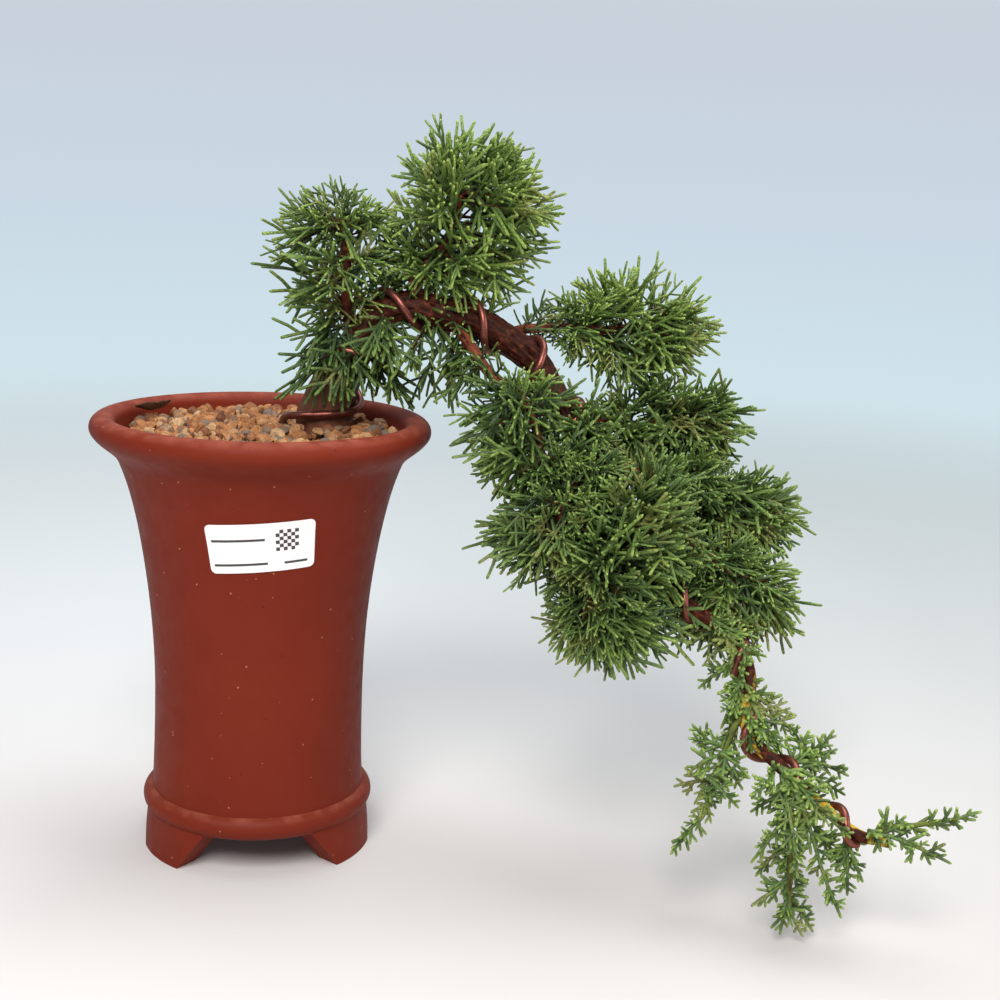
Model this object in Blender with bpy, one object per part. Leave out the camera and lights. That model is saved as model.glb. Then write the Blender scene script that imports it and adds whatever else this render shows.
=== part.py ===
"""Cascade juniper bonsai in a tall three-footed clay pot.

Metres, +Z up. The origin is on the ground under the middle of the whole plant's box,
so the pot's own axis stands to one side of it, at POT_AXIS. The tree's routes are in
millimetres from its collar, the point where the trunk leaves the gravel.
"""
import math

import bmesh
import bpy
import numpy as np
from mathutils import Matrix, Vector, noise

MM = 0.001

# Running clearance left between any two pieces that touch
GAP = 0.3 * MM

# Pot: outer shape, wall and feet
POT_AXIS = (-89.4 * MM, 30.9 * MM)
POT_HEIGHT = 169.3 * MM
RIM_RADIUS = 64.0 * MM
LIP_DEPTH = 12.3 * MM
LIP_OVERHANG = 8.35 * MM
WAIST_RADIUS = 40.15 * MM
WAIST_HEIGHT = 60.0 * MM
BASE_SPREAD = 0.95 * MM
BEAD_HEIGHT = 19.3 * MM
BEAD_RADIUS = 4.5 * MM
BEAD_PROUD = 3.3 * MM
WALL = 5.0 * MM
FLOOR_THICKNESS = 7.0 * MM
FLOOR_CURVE = 4.0 * MM
FOOT_HEIGHT = 14.4 * MM
FOOT_THICKNESS = 10.0 * MM
FOOT_FLARE = 1.8 * MM
FOOT_TOP_ANGLE = math.radians(31)
FOOT_BOTTOM_ANGLE = math.radians(17)
FOOT_ROUNDING = 2.6 * MM
FOOT_BEARINGS = tuple(math.radians(a) for a in (-30, 90, 210))
DRAIN_RADIUS = 9.0 * MM
POT_SEGMENTS = 40

# Drain mesh and the wire clip that holds it over the hole
MESH_CELLS = 4
MESH_PITCH = 5.0 * MM
MESH_BAR = 1.2 * MM
MESH_THICKNESS = 1.2 * MM
CLIP_DIAMETER = 1.2 * MM
CLIP_LEG_TAIL = 9.0 * MM

# Gravel: how far its surface lies below the rim, and how uneven it is
GRAVEL_BELOW_RIM = 5.3 * MM
GRAVEL_ROUGHNESS = 0.9 * MM
GRAVEL_SEGMENTS = 32

# Paper label stuck on the front of the pot
LABEL_WIDTH = 38.5 * MM
LABEL_HEIGHT = 18.6 * MM
LABEL_THICKNESS = 0.3 * MM
LABEL_CORNER = 2.0 * MM
LABEL_CENTRE_HEIGHT = 129.0 * MM
LABEL_TILT = math.radians(4.6)

# Dead leaf lying against the back of the rim
LEAF_LENGTH = 17.0 * MM
LEAF_WIDTH = 9.0 * MM
LEAF_THICKNESS = 0.8 * MM
LEAF_BEARING = math.radians(153)
LEAF_FROM_WALL = 8.5 * MM
LEAF_ABOVE_GRAVEL = 4.5 * MM

# Tree: where its collar stands on the gravel, measured from the pot's axis
COLLAR_OFFSET = (24.0 * MM, 12.0 * MM)
STEM_THICKNESS = 1.0

# Training wire, wound along the trunk
WIRE_DIAMETER = 3.0 * MM
WIRE_POINTS_PER_TURN = 10

# Colours, linear RGB
CLAY = (0.22, 0.035, 0.018)
BARK = (0.16, 0.05, 0.035)
TWIG = (0.30, 0.10, 0.04)
FOLIAGE = (0.05, 0.13, 0.04)
COPPER = (0.20, 0.07, 0.055)
GRAVEL = (0.42, 0.20, 0.08)
PAPER = (0.85, 0.85, 0.83)
PLASTIC = (0.02, 0.02, 0.02)
STEEL = (0.5, 0.5, 0.5)
DRY_LEAF = (0.16, 0.07, 0.04)

# Each row of a route is x, y, z and radius in millimetres
TRUNK_ROUTE = (
    (-2, 0, -26, 11.5), (-1, 0, -8, 11.5), (0, 0, 0, 11), (0, 0, 4, 10.7), (3, 0, 14, 9.5),
    (7, -1, 24, 8.1), (13, -3, 33, 7.1), (18, -4, 41, 6.7), (25, -6, 46, 6.4),
    (35, -8, 47, 6.1), (45, -10, 45, 5.9), (56, -13, 43, 5.8), (67, -16, 37, 5.6),
    (77, -19, 30, 5.4), (83, -22, 22, 5.1), (88, -27, 14, 4.8), (96, -33, 1, 4.5),
    (105, -38, -11, 4.2), (111, -44, -24, 3.9), (117, -50, -37, 3.6), (125, -56, -49, 3.4),
    (137, -62, -58, 3.2), (148, -67, -64, 3.0), (152, -73, -71, 2.9), (153, -79, -79, 2.7),
    (151, -84, -86, 2.5), (150, -90, -93, 2.4), (153, -95, -98, 2.4), (158, -100, -102, 2.3),
    (170, -110, -112, 2.1), (182, -119, -121, 1.9), (191, -128, -121, 1.7),
)
BRANCH_ROUTES = {
    "branch_left": ((12, -2, 38, 2.6), (8, -1, 43, 2.5), (7, -3, 51, 2.2), (7, -4, 60, 1.9),
                    (6, -6, 70, 1.5), (4, -8, 79, 1.2)),
    "branch_apex": ((34, -8, 49, 3.0), (33, -7, 57, 2.8), (38, -4, 64, 2.5),
                    (44, -4, 71, 2.1), (47, -5, 79, 1.7), (49, -6, 90, 1.2)),
    "branch_right": ((66, -14, 38, 2.0), (76, -7, 40, 1.9), (89, 0, 40, 1.8),
                     (100, 4, 40, 1.7), (113, 8, 39, 1.5), (128, 12, 42, 1.2)),
    "branch_lower_left": ((46, -12, 43, 2.2), (52, -22, 36, 2.1), (59, -29, 26, 2.0),
                          (66, -36, 21, 1.9), (71, -41, 17, 1.8), (75, -44, 8, 1.5),
                          (79, -49, -6, 1.2)),
    "branch_back": ((92, -29, 8, 2.2), (99, -19, 7, 2.0), (111, -5, 4, 1.8),
                    (124, 2, 1, 1.6), (139, 0, 6, 1.2)),
    "branch_outer": ((105, -38, -11, 2.2), (123, -32, -11, 2.0), (146, -22, -17, 1.7),
                     (166, -14, -28, 1.2)),
    "branch_outer_lower": ((109, -42, -19, 2.0), (122, -46, -25, 1.9), (146, -49, -42, 1.6),
                           (160, -43, -53, 1.2)),
    "branch_front": ((112, -45, -26, 1.9), (104, -57, -33, 1.8), (96, -66, -44, 1.5),
                     (93, -66, -56, 1.2)),
    "branch_front_left": ((104, -38, -10, 1.8), (92, -52, -8, 1.7), (84, -60, -18, 1.4),
                          (82, -58, -30, 1.2)),
    "twig_hanging_left": ((150, -86, -88, 1.3), (144, -91, -94, 1.2), (139, -95, -106, 1.0),
                          (134, -99, -122, 0.9)),
    "twig_hanging_centre": ((160, -102, -104, 1.3), (160, -110, -115, 1.2),
                            (161, -115, -132, 1.0), (161, -117, -148, 0.9)),
    "twig_upper": ((165, -106, -108, 1.3), (169, -101, -103, 1.1), (175, -97, -99, 0.9)),
    "twig_tip": ((187, -124, -121, 1.2), (193, -122, -118, 1.1), (201, -127, -115, 0.9),
                 (212, -132, -111, 0.8)),
}

# Distance along the trunk, from its buried end, of each place where the wire crosses its front
WIRE_CROSSINGS = (32, 60, 86, 117, 143, 169, 197, 222, 249, 277, 307, 334, 356)
WIRE_END = 361
WIRE_ANCHOR = ((-17, 10, -24), (-17, 8, -12), (-16.5, 4, -1), (-15, -4, 3.5), (-10.5, -11, 5.2))

# Foliage: the space each pad of shoots fills, as centre and radii in millimetres
FOLIAGE_PADS = {
    "foliage_left": ((2, -6, 66), (25, 22, 23)),
    "foliage_left_skirt": ((3, -22, 28), (21, 9, 17)),
    "foliage_apex": ((56, -6, 80), (33, 28, 33)),
    "foliage_under_arch": ((35, -12, 23), (17, 12, 15)),
    "foliage_right": ((123, 8, 39), (33, 22, 22)),
    "foliage_upper_left": ((74, -40, 4), (29, 22, 21)),
    "foliage_upper_right": ((138, -7, 2), (31, 25, 20)),
    "foliage_middle_left": ((84, -52, -31), (25, 23, 22)),
    "foliage_middle": ((109, -67, -31), (27, 18, 25)),
    "foliage_outer": ((163, -17, -34), (26, 25, 21)),
    "foliage_lower": ((109, -57, -60), (25, 22, 19)),
    "foliage_outer_lower": ((154, -47, -57), (25, 23, 19)),
    "spray_tail_knot": ((153, -75, -77), (14, 12, 14)),
    "spray_hanging_left": ((137, -97, -116), (16, 11, 20)),
    "spray_hanging_centre": ((163, -117, -135), (17, 12, 23)),
    "spray_upper": ((175, -97, -105), (12, 10, 13)),
    "spray_tip": ((200, -129, -116), (19, 9, 11)),
    "spray_underside": ((183, -117, -134), (7, 7, 11)),
}
PAD_LUMP = 0.07


def material(name, colour, roughness, metallic=0.0):
    """A Principled material in one colour."""
    made = bpy.data.materials.new(name)
    made.use_nodes = True
    shader = made.node_tree.nodes["Principled BSDF"]
    shader.inputs["Base Color"].default_value = (*colour, 1.0)
    shader.inputs["Roughness"].default_value = roughness
    shader.inputs["Metallic"].default_value = metallic
    return made


def add_object(name, mesh, parent, made=None):
    """Put a mesh in the scene under a parent, with its material."""
    piece = bpy.data.objects.new(name, mesh)
    piece.parent = parent
    if made:
        mesh.materials.append(made)
    bpy.context.scene.collection.objects.link(piece)
    return piece


def finish_mesh(name, body, smooth=True):
    """Turn a bmesh into a mesh with merged points, outward faces and smooth shading."""
    bmesh.ops.remove_doubles(body, verts=body.verts, dist=0.01 * MM)
    bmesh.ops.recalc_face_normals(body, faces=body.faces)
    mesh = bpy.data.meshes.new(name)
    body.to_mesh(mesh)
    body.free()
    if smooth:
        mesh.shade_smooth()
        mesh.set_sharp_from_angle(angle=math.radians(40))
    return mesh


def hide_cutter(cutter):
    """Mark an object as a guide that only shapes other pieces."""
    cutter.hide_render = True
    cutter.display_type = "WIRE"
    return cutter


def cut(piece, cutter, operation="DIFFERENCE"):
    """Add a live Boolean between a piece and a cutter."""
    boolean = piece.modifiers.new(cutter.name, "BOOLEAN")
    boolean.operation = operation
    boolean.solver = "EXACT"
    boolean.object = cutter


def empty(name, location):
    """A named point that pieces hang from."""
    point = bpy.data.objects.new(name, None)
    point.location = location
    bpy.context.scene.collection.objects.link(point)
    return point


# ---------------------------------------------------------------- pot

def flare(height):
    """Outer radius of the pot's body at a height: a narrow waist opening to a trumpet mouth."""
    mouth_height = POT_HEIGHT - LIP_DEPTH
    mouth_radius = RIM_RADIUS - LIP_OVERHANG
    if height < WAIST_HEIGHT:
        down = (WAIST_HEIGHT - height) / (WAIST_HEIGHT - FOOT_HEIGHT - BEAD_RADIUS * 2)
        return WAIST_RADIUS + BASE_SPREAD * down ** 2
    up = (height - WAIST_HEIGHT) / (mouth_height - WAIST_HEIGHT)
    return WAIST_RADIUS + (mouth_radius - WAIST_RADIUS) * (0.81 * up ** 2 + 0.19 * up ** 8)


def inner_radius(height):
    """Radius of the pot's inside at a height."""
    return flare(height) - WALL


def inside_heights():
    """Heights of the corners of the pot's inside wall, from the floor's curve to the mouth."""
    low = FOOT_HEIGHT + FLOOR_THICKNESS + FLOOR_CURVE
    high = POT_HEIGHT - LIP_DEPTH
    return [low + share * (high - low) for share in (0.0, 0.35, 0.65, 0.85, 1.0)]


def pot_profile():
    """Closed outline of half the pot's section, as (radius, height), from the drain hole round."""
    floor_top = FOOT_HEIGHT + FLOOR_THICKNESS
    outline = [(DRAIN_RADIUS, FOOT_HEIGHT), (flare(FOOT_HEIGHT) - 1 * MM, FOOT_HEIGHT)]
    bead_centre = flare(BEAD_HEIGHT) + BEAD_PROUD - BEAD_RADIUS
    for degrees in range(-60, 61, 30):
        angle = math.radians(degrees)
        outline.append((bead_centre + BEAD_RADIUS * math.cos(angle),
                        BEAD_HEIGHT + BEAD_RADIUS * math.sin(angle)))
    mouth_height = POT_HEIGHT - LIP_DEPTH
    for share in (0.0, 0.15, 0.35, 0.55, 0.7, 0.82, 0.91, 1.0):
        height = BEAD_HEIGHT + BEAD_RADIUS + share * (mouth_height - BEAD_HEIGHT - BEAD_RADIUS)
        outline.append((flare(height), height))
    lip_inside = inner_radius(POT_HEIGHT - LIP_DEPTH / 4)
    lip_middle = (RIM_RADIUS + lip_inside) / 2
    lip_half = (RIM_RADIUS - lip_inside) / 2
    lip_rise = LIP_DEPTH * 0.38
    lip_height = POT_HEIGHT - lip_rise
    for degrees in range(-40, 181, 44):
        angle = math.radians(degrees)
        outline.append((lip_middle + lip_half * math.cos(angle),
                        lip_height + lip_rise * math.sin(angle)))
    outline += [(inner_radius(height), height) for height in reversed(inside_heights())]
    outline.append((inner_radius(floor_top) - FLOOR_CURVE, floor_top))
    outline.append((DRAIN_RADIUS, floor_top))
    return outline


def spin_outline(outline, segments, ring=True):
    """Turn a (radius, height) outline round Z: a closed ring, or a solid that starts on the axis."""
    body = bmesh.new()
    corners = [body.verts.new((radius, 0, height)) for radius, height in outline]
    followers = corners[1:] + corners[:1] if ring else corners[1:]
    edges = [body.edges.new(pair) for pair in zip(corners, followers)]
    bmesh.ops.spin(body, geom=corners + edges, axis=(0, 0, 1), cent=(0, 0, 0),
                   angle=math.tau, steps=segments, use_merge=True)
    return body


def foot_body(bearing):
    """One foot: a thick arc under the bead, its sides sloping in and its lower edges rounded."""
    outer = flare(FOOT_HEIGHT) + 1.0 * MM
    top = FOOT_HEIGHT + FLOOR_THICKNESS / 3
    section = ((outer - FOOT_THICKNESS, top), (outer, top),
               (outer + FOOT_FLARE, 0), (outer - FOOT_THICKNESS + FOOT_FLARE, 0))
    body = bmesh.new()
    corners = [body.verts.new((radius, 0, height)) for radius, height in section]
    face = body.faces.new(corners)
    bmesh.ops.rotate(body, verts=body.verts, cent=(0, 0, 0),
                     matrix=Matrix.Rotation(-FOOT_TOP_ANGLE * 1.2, 3, "Z"))
    steps = 7
    bmesh.ops.spin(body, geom=[face] + face.edges[:] + face.verts[:], axis=(0, 0, 1),
                   cent=(0, 0, 0), angle=FOOT_TOP_ANGLE * 2.4, steps=steps)
    bmesh.ops.recalc_face_normals(body, faces=body.faces)
    for side in (-1, 1):
        upper = Vector((math.cos(FOOT_TOP_ANGLE), side * math.sin(FOOT_TOP_ANGLE), 0)) * outer
        upper.z = FOOT_HEIGHT
        lower = Vector((math.cos(FOOT_BOTTOM_ANGLE), side * math.sin(FOOT_BOTTOM_ANGLE), 0))
        lower = lower * outer
        radial = Vector((math.cos(FOOT_BOTTOM_ANGLE), side * math.sin(FOOT_BOTTOM_ANGLE), 0))
        normal = (upper - lower).cross(radial) * side
        if normal.y * side < 0:
            normal.negate()
        found = bmesh.ops.bisect_plane(body, geom=body.verts[:] + body.edges[:] + body.faces[:],
                                       plane_co=upper, plane_no=normal, clear_outer=True)
        rim = [item for item in found["geom_cut"] if isinstance(item, bmesh.types.BMEdge)]
        bmesh.ops.holes_fill(body, edges=rim, sides=0)
    bmesh.ops.recalc_face_normals(body, faces=body.faces)
    lower_edges = []
    for edge in body.edges:
        turned = len(edge.link_faces) == 2 and edge.calc_face_angle() > math.radians(35)
        if turned and max(v.co.z for v in edge.verts) < 0.1 * MM:
            lower_edges.append(edge)
    bmesh.ops.bevel(body, geom=lower_edges, offset=FOOT_ROUNDING, offset_type="OFFSET",
                    segments=3, profile=0.5, affect="EDGES", material=-1, clamp_overlap=True)
    bmesh.ops.rotate(body, verts=body.verts, cent=(0, 0, 0),
                     matrix=Matrix.Rotation(bearing, 3, "Z"))
    return body


def make_pot(parent):
    """The pot, thrown in one piece: body, bead, rolled lip, drain hole and three feet."""
    pot = add_object("pot", finish_mesh("pot", spin_outline(pot_profile(), POT_SEGMENTS)),
                     parent, material("clay", CLAY, 0.55))
    for number, bearing in enumerate(FOOT_BEARINGS):
        name = "foot_guide_%d" % number
        foot = add_object(name, finish_mesh(name, foot_body(bearing)), parent)
        cut(pot, hide_cutter(foot), "UNION")
    return pot


def make_pot_guide(parent):
    """The pot as a plain turned solid, a gap larger all round, that keeps foliage off its rim."""
    mouth_height = POT_HEIGHT - LIP_DEPTH
    outline = [(0, FOOT_HEIGHT)]
    outline += [(flare(height) + 2 * GAP, height)
                for height in np.linspace(FOOT_HEIGHT, mouth_height - 2 * GAP, 8)]
    outline += [(RIM_RADIUS + 2 * GAP, mouth_height), (RIM_RADIUS + 2 * GAP, POT_HEIGHT + 2 * GAP),
                (0, POT_HEIGHT + 2 * GAP)]
    body = spin_outline(outline, POT_SEGMENTS, ring=False)
    bmesh.ops.translate(body, verts=body.verts,
                        vec=(-COLLAR_OFFSET[0], -COLLAR_OFFSET[1], -gravel_level()))
    return hide_cutter(add_object("pot_guide", finish_mesh("pot_guide", body), parent))


# ---------------------------------------------------------------- drain mesh and its clip

def make_drain_mesh(parent):
    """A square of plastic mesh lying over the drain hole."""
    width = MESH_CELLS * MESH_PITCH
    body = bmesh.new()
    bmesh.ops.create_grid(body, x_segments=MESH_CELLS, y_segments=MESH_CELLS, size=width / 2)
    cells = body.faces[:]
    bmesh.ops.inset_individual(body, faces=cells, thickness=MESH_BAR / 2)
    bmesh.ops.delete(body, geom=cells, context="FACES_ONLY")
    raised = bmesh.ops.extrude_face_region(body, geom=body.faces[:])
    top = [item for item in raised["geom"] if isinstance(item, bmesh.types.BMVert)]
    bmesh.ops.translate(body, verts=top, vec=(0, 0, MESH_THICKNESS))
    bmesh.ops.translate(body, verts=body.verts,
                        vec=(0, 0, FOOT_HEIGHT + FLOOR_THICKNESS + GAP))
    return add_object("drain_mesh", finish_mesh("drain_mesh", body, smooth=False), parent,
                      material("mesh_plastic", PLASTIC, 0.5))


def tube_mesh(name, points, radii, resolution):
    """A closed round tube along points, made from a bevelled curve with filled ends."""
    curve = bpy.data.curves.new(name, "CURVE")
    curve.dimensions = "3D"
    curve.bevel_depth = 1.0
    curve.bevel_resolution = resolution
    curve.use_fill_caps = True
    spline = curve.splines.new("POLY")
    spline.points.add(len(points) - 1)
    for point, place, radius in zip(spline.points, points, radii):
        point.co = (*place, 1.0)
        point.radius = radius
    guide = bpy.data.objects.new(name + "_curve", curve)
    body = bmesh.new()
    mesh = bpy.data.meshes.new_from_object(guide)
    body.from_mesh(mesh)
    bpy.data.meshes.remove(mesh)
    bpy.data.objects.remove(guide)
    bpy.data.curves.remove(curve)
    return finish_mesh(name, body)


def make_mesh_clip(parent):
    """A wire clip over the mesh, its legs down through the drain hole and bent out below."""
    half = MESH_PITCH * 1.5
    radius = CLIP_DIAMETER / 2
    above = FOOT_HEIGHT + FLOOR_THICKNESS + GAP + MESH_THICKNESS + GAP + radius
    below = FOOT_HEIGHT - GAP - radius
    bend = 1.0 * MM
    side = [(0, above), (half - bend, above), (half - bend * 0.3, above - bend * 0.3),
            (half, above - bend), (half, below + bend),
            (half + bend * 0.3, below + bend * 0.3), (half + bend, below),
            (half + CLIP_LEG_TAIL, below)]
    places = [(-across, MESH_PITCH / 2, height) for across, height in reversed(side[1:])]
    places += [(across, MESH_PITCH / 2, height) for across, height in side]
    mesh = tube_mesh("drain_mesh_clip", places, [radius] * len(places), 2)
    return add_object("drain_mesh_clip", mesh, parent, material("clip_wire", STEEL, 0.4, 1.0))


# ---------------------------------------------------------------- gravel and soil

def gravel_level():
    """Height of the gravel's surface in the pot."""
    return POT_HEIGHT - GRAVEL_BELOW_RIM


def make_soil(parent):
    """Soil and gravel as one fill: the pot's inside less a gap, with an uneven top."""
    floor = FOOT_HEIGHT + FLOOR_THICKNESS + GAP
    top = gravel_level()
    edge = inner_radius(top) - 2 * GAP
    outline = [(0, floor), (inner_radius(floor) - FLOOR_CURVE - 2 * GAP, floor)]
    outline += [(inner_radius(height) - 2 * GAP, height) for height in inside_heights()]
    outline += [(edge * share, top) for share in (1.0, 0.85, 0.65, 0.45, 0.22, 0.0)]
    body = spin_outline(outline, GRAVEL_SEGMENTS, ring=False)
    bmesh.ops.remove_doubles(body, verts=body.verts, dist=0.01 * MM)
    for vert in body.verts:
        inside = vert.co.xy.length < edge * 0.9
        if vert.co.z > top - 0.01 * MM and inside:
            vert.co.z += GRAVEL_ROUGHNESS * noise.noise(vert.co * 90)
    soil = add_object("soil", finish_mesh("soil", body), parent,
                      material("gravel", GRAVEL, 0.9))
    pocket = bmesh.new()
    bmesh.ops.create_cube(pocket, size=1.0)
    width = MESH_CELLS * MESH_PITCH + 2 * GAP
    depth = 2 * (MESH_THICKNESS + CLIP_DIAMETER + 3 * GAP)
    bmesh.ops.scale(pocket, verts=pocket.verts, vec=(width, width, depth))
    bmesh.ops.translate(pocket, verts=pocket.verts, vec=(0, 0, floor))
    cutter = add_object("mesh_pocket_guide", finish_mesh("mesh_pocket_guide", pocket), parent)
    cut(soil, hide_cutter(cutter))
    return soil


# ---------------------------------------------------------------- label and fallen leaf

def make_label(parent):
    """A blank paper sticker with round corners, bent to the pot and set a little askew."""
    body = bmesh.new()
    bmesh.ops.create_grid(body, x_segments=1, y_segments=1, size=0.5)
    bmesh.ops.scale(body, verts=body.verts, vec=(LABEL_WIDTH, LABEL_HEIGHT, 1))
    bmesh.ops.bevel(body, geom=body.verts[:], offset=LABEL_CORNER, segments=3, profile=0.5,
                    affect="VERTICES", material=-1)
    strips = 12
    for strip in range(1, strips):
        across = (strip / strips - 0.5) * LABEL_WIDTH
        bmesh.ops.bisect_plane(body, geom=body.verts[:] + body.edges[:] + body.faces[:],
                               plane_co=(across, 0, 0), plane_no=(1, 0, 0))
    for up in (-0.25, 0, 0.25):
        bmesh.ops.bisect_plane(body, geom=body.verts[:] + body.edges[:] + body.faces[:],
                               plane_co=(0, up * LABEL_HEIGHT, 0), plane_no=(0, 1, 0))
    bmesh.ops.rotate(body, verts=body.verts, cent=(0, 0, 0),
                     matrix=Matrix.Rotation(LABEL_TILT, 3, "Z"))
    raised = bmesh.ops.extrude_face_region(body, geom=body.faces[:])
    front = [item for item in raised["geom"] if isinstance(item, bmesh.types.BMVert)]
    bmesh.ops.translate(body, verts=front, vec=(0, 0, LABEL_THICKNESS))
    for vert in body.verts:
        along, up, proud = vert.co
        height = LABEL_CENTRE_HEIGHT + up
        radius = flare(height) + GAP + proud
        angle = along / flare(LABEL_CENTRE_HEIGHT) - math.pi / 2
        vert.co = (radius * math.cos(angle), radius * math.sin(angle), height)
    return add_object("label", finish_mesh("label", body), parent,
                      material("paper", PAPER, 0.6))


def make_dry_leaf(parent):
    """A dead leaf, curled up at both ends and lying on the gravel against the back of the rim."""
    body = bmesh.new()
    bmesh.ops.create_grid(body, x_segments=6, y_segments=3, size=0.5)
    for vert in body.verts:
        along, across = vert.co.x, vert.co.y * (1 - 2.6 * vert.co.x ** 2)
        vert.co = (along * LEAF_LENGTH, across * LEAF_WIDTH,
                   2.6 * MM * (2 * along) ** 2 - 2.4 * MM * (2 * across) ** 2)
    raised = bmesh.ops.extrude_face_region(body, geom=body.faces[:])
    upper = [item for item in raised["geom"] if isinstance(item, bmesh.types.BMVert)]
    bmesh.ops.translate(body, verts=upper, vec=(0, 0, LEAF_THICKNESS))
    turn = (Matrix.Rotation(LEAF_BEARING + math.radians(70), 3, "Z")
            @ Matrix.Rotation(math.radians(20), 3, "X"))
    bmesh.ops.rotate(body, verts=body.verts, cent=(0, 0, 0), matrix=turn)
    reach = inner_radius(gravel_level()) - LEAF_FROM_WALL
    bmesh.ops.translate(body, verts=body.verts,
                        vec=(reach * math.cos(LEAF_BEARING), reach * math.sin(LEAF_BEARING),
                             gravel_level() + LEAF_ABOVE_GRAVEL))
    return add_object("dry_leaf", finish_mesh("dry_leaf", body), parent,
                      material("dry_leaf", DRY_LEAF, 0.8))


# ---------------------------------------------------------------- trunk, branches and wire

def smooth_route(rows, step):
    """Rows about step apart on one smooth curve (Catmull-Rom) through the given rows."""
    rows = np.array(rows, dtype=float) * MM
    padded = np.vstack([2 * rows[0] - rows[1], rows, 2 * rows[-1] - rows[-2]])
    found = []
    for before, start, end, after in zip(padded, padded[1:], padded[2:], padded[3:]):
        count = max(1, round(np.linalg.norm((end - start)[:3]) / step))
        for share in np.arange(count) / count:
            found.append(0.5 * (2 * start + (end - before) * share
                                + (2 * before - 5 * start + 4 * end - after) * share ** 2
                                + (3 * start - before - 3 * end + after) * share ** 3))
    found.append(rows[-1])
    return np.array(found)


def stem_mesh(name, rows, step, extra, resolution):
    """A tapering stem along a route, thicker all round by extra when it is a cutter."""
    route = smooth_route(rows, step)
    return tube_mesh(name, route[:, :3], route[:, 3] * STEM_THICKNESS + extra, resolution)


def make_stem(name, rows, parent, made, step, resolution):
    """A stem and the slightly fatter guide that keeps its neighbours off it."""
    stem = add_object(name, stem_mesh(name, rows, step, 0.0, resolution), parent, made)
    guide_name = name + "_guide"
    guide = add_object(guide_name, stem_mesh(guide_name, rows, step, GAP, resolution), parent)
    return stem, hide_cutter(guide)


def wire_route():
    """Points along the wire: up out of the soil, then wound round the trunk to its tail."""
    trunk = smooth_route(TRUNK_ROUTE, 2 * MM)
    steps = np.linalg.norm(np.diff(trunk[:, :3], axis=0), axis=1)
    distance = np.concatenate([[0], np.cumsum(steps)])
    crossings = np.array(WIRE_CROSSINGS) * MM
    turns = np.arange(len(crossings))
    last_turn = turns[-1] + 0.3
    crossings = np.append(crossings, WIRE_END * MM)
    turns = np.append(turns, last_turn)
    points = [Vector(place) * MM for place in WIRE_ANCHOR]
    count = round(last_turn * WIRE_POINTS_PER_TURN)
    for number in range(count + 1):
        turn = number / count * last_turn
        along = np.interp(turn, turns, crossings)
        middle = Vector([np.interp(along, distance, trunk[:, axis]) for axis in range(3)])
        ahead = Vector([np.interp(along + 4 * MM, distance, trunk[:, axis]) for axis in range(3)])
        behind = Vector([np.interp(along - 4 * MM, distance, trunk[:, axis]) for axis in range(3)])
        heading = (ahead - behind).normalized()
        front = Vector((0, -1, 0))
        front = (front - front.dot(heading) * heading).normalized()
        side = heading.cross(front)
        bark = float(np.interp(along, distance, trunk[:, 3])) * STEM_THICKNESS
        radius = (bark + WIRE_DIAMETER / 2 + GAP) / math.cos(math.pi / WIRE_POINTS_PER_TURN)
        angle = math.tau * turn
        points.append(middle + radius * (math.cos(angle) * front + math.sin(angle) * side))
    return points


def make_wire(parent):
    """The training wire and the guide that keeps foliage and soil off it."""
    points = wire_route()
    radius = WIRE_DIAMETER / 2
    made = material("copper_wire", COPPER, 0.35, 0.8)
    wire = add_object("training_wire",
                      tube_mesh("training_wire", points, [radius] * len(points), 1),
                      parent, made)
    guide = add_object("training_wire_guide",
                       tube_mesh("training_wire_guide", points,
                                 [radius + GAP] * len(points), 1), parent)
    return wire, hide_cutter(guide)


# ---------------------------------------------------------------- foliage

def clear_of_trunk(place):
    """A pad's centre, moved straight away from the trunk by what its bark grows when thickened."""
    rows = np.array(TRUNK_ROUTE, dtype=float)
    away = np.array(place) - rows[:, :3]
    nearest = int(np.argmin(np.linalg.norm(away, axis=1)))
    growth = rows[nearest, 3] * (STEM_THICKNESS - 1.0)
    return tuple(np.array(place) + growth * away[nearest] / np.linalg.norm(away[nearest]))


def pad_mesh(name, place, radii, extra):
    """A lumpy rounded mass standing for one pad of shoots, grown by extra for a cutter."""
    body = bmesh.new()
    bmesh.ops.create_uvsphere(body, u_segments=12, v_segments=8, radius=1.0)
    middle = Vector(clear_of_trunk(place))
    for vert in body.verts:
        lump = 1 + PAD_LUMP * noise.noise(vert.co * 1.7 + Vector(place))
        vert.co = Vector([axis * radius * lump for axis, radius in zip(vert.co, radii)])
    body.normal_update()
    for vert in body.verts:
        vert.co = (vert.co + middle) * MM + vert.normal * extra
    return finish_mesh(name, body)


def boxes_meet(first, second):
    """Whether the boxes of two objects under the same parent touch or overlap."""
    first, second = np.array(first.bound_box), np.array(second.bound_box)
    return bool(np.all(first.min(axis=0) <= second.max(axis=0))
                and np.all(second.min(axis=0) <= first.max(axis=0)))


def make_foliage(parent, guides):
    """Every foliage pad, cut clear of the stems, the wire and the pads made before it."""
    made = material("foliage", FOLIAGE, 0.6)
    keep_clear = list(guides)
    for name, (place, radii) in FOLIAGE_PADS.items():
        pad = add_object(name, pad_mesh(name, place, radii, 0.0), parent, made)
        for guide in keep_clear:
            if boxes_meet(pad, guide):
                cut(pad, guide)
        guide_name = name + "_guide"
        guide = add_object(guide_name, pad_mesh(guide_name, place, radii, 1.5 * GAP), parent)
        keep_clear.append(hide_cutter(guide))


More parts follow.
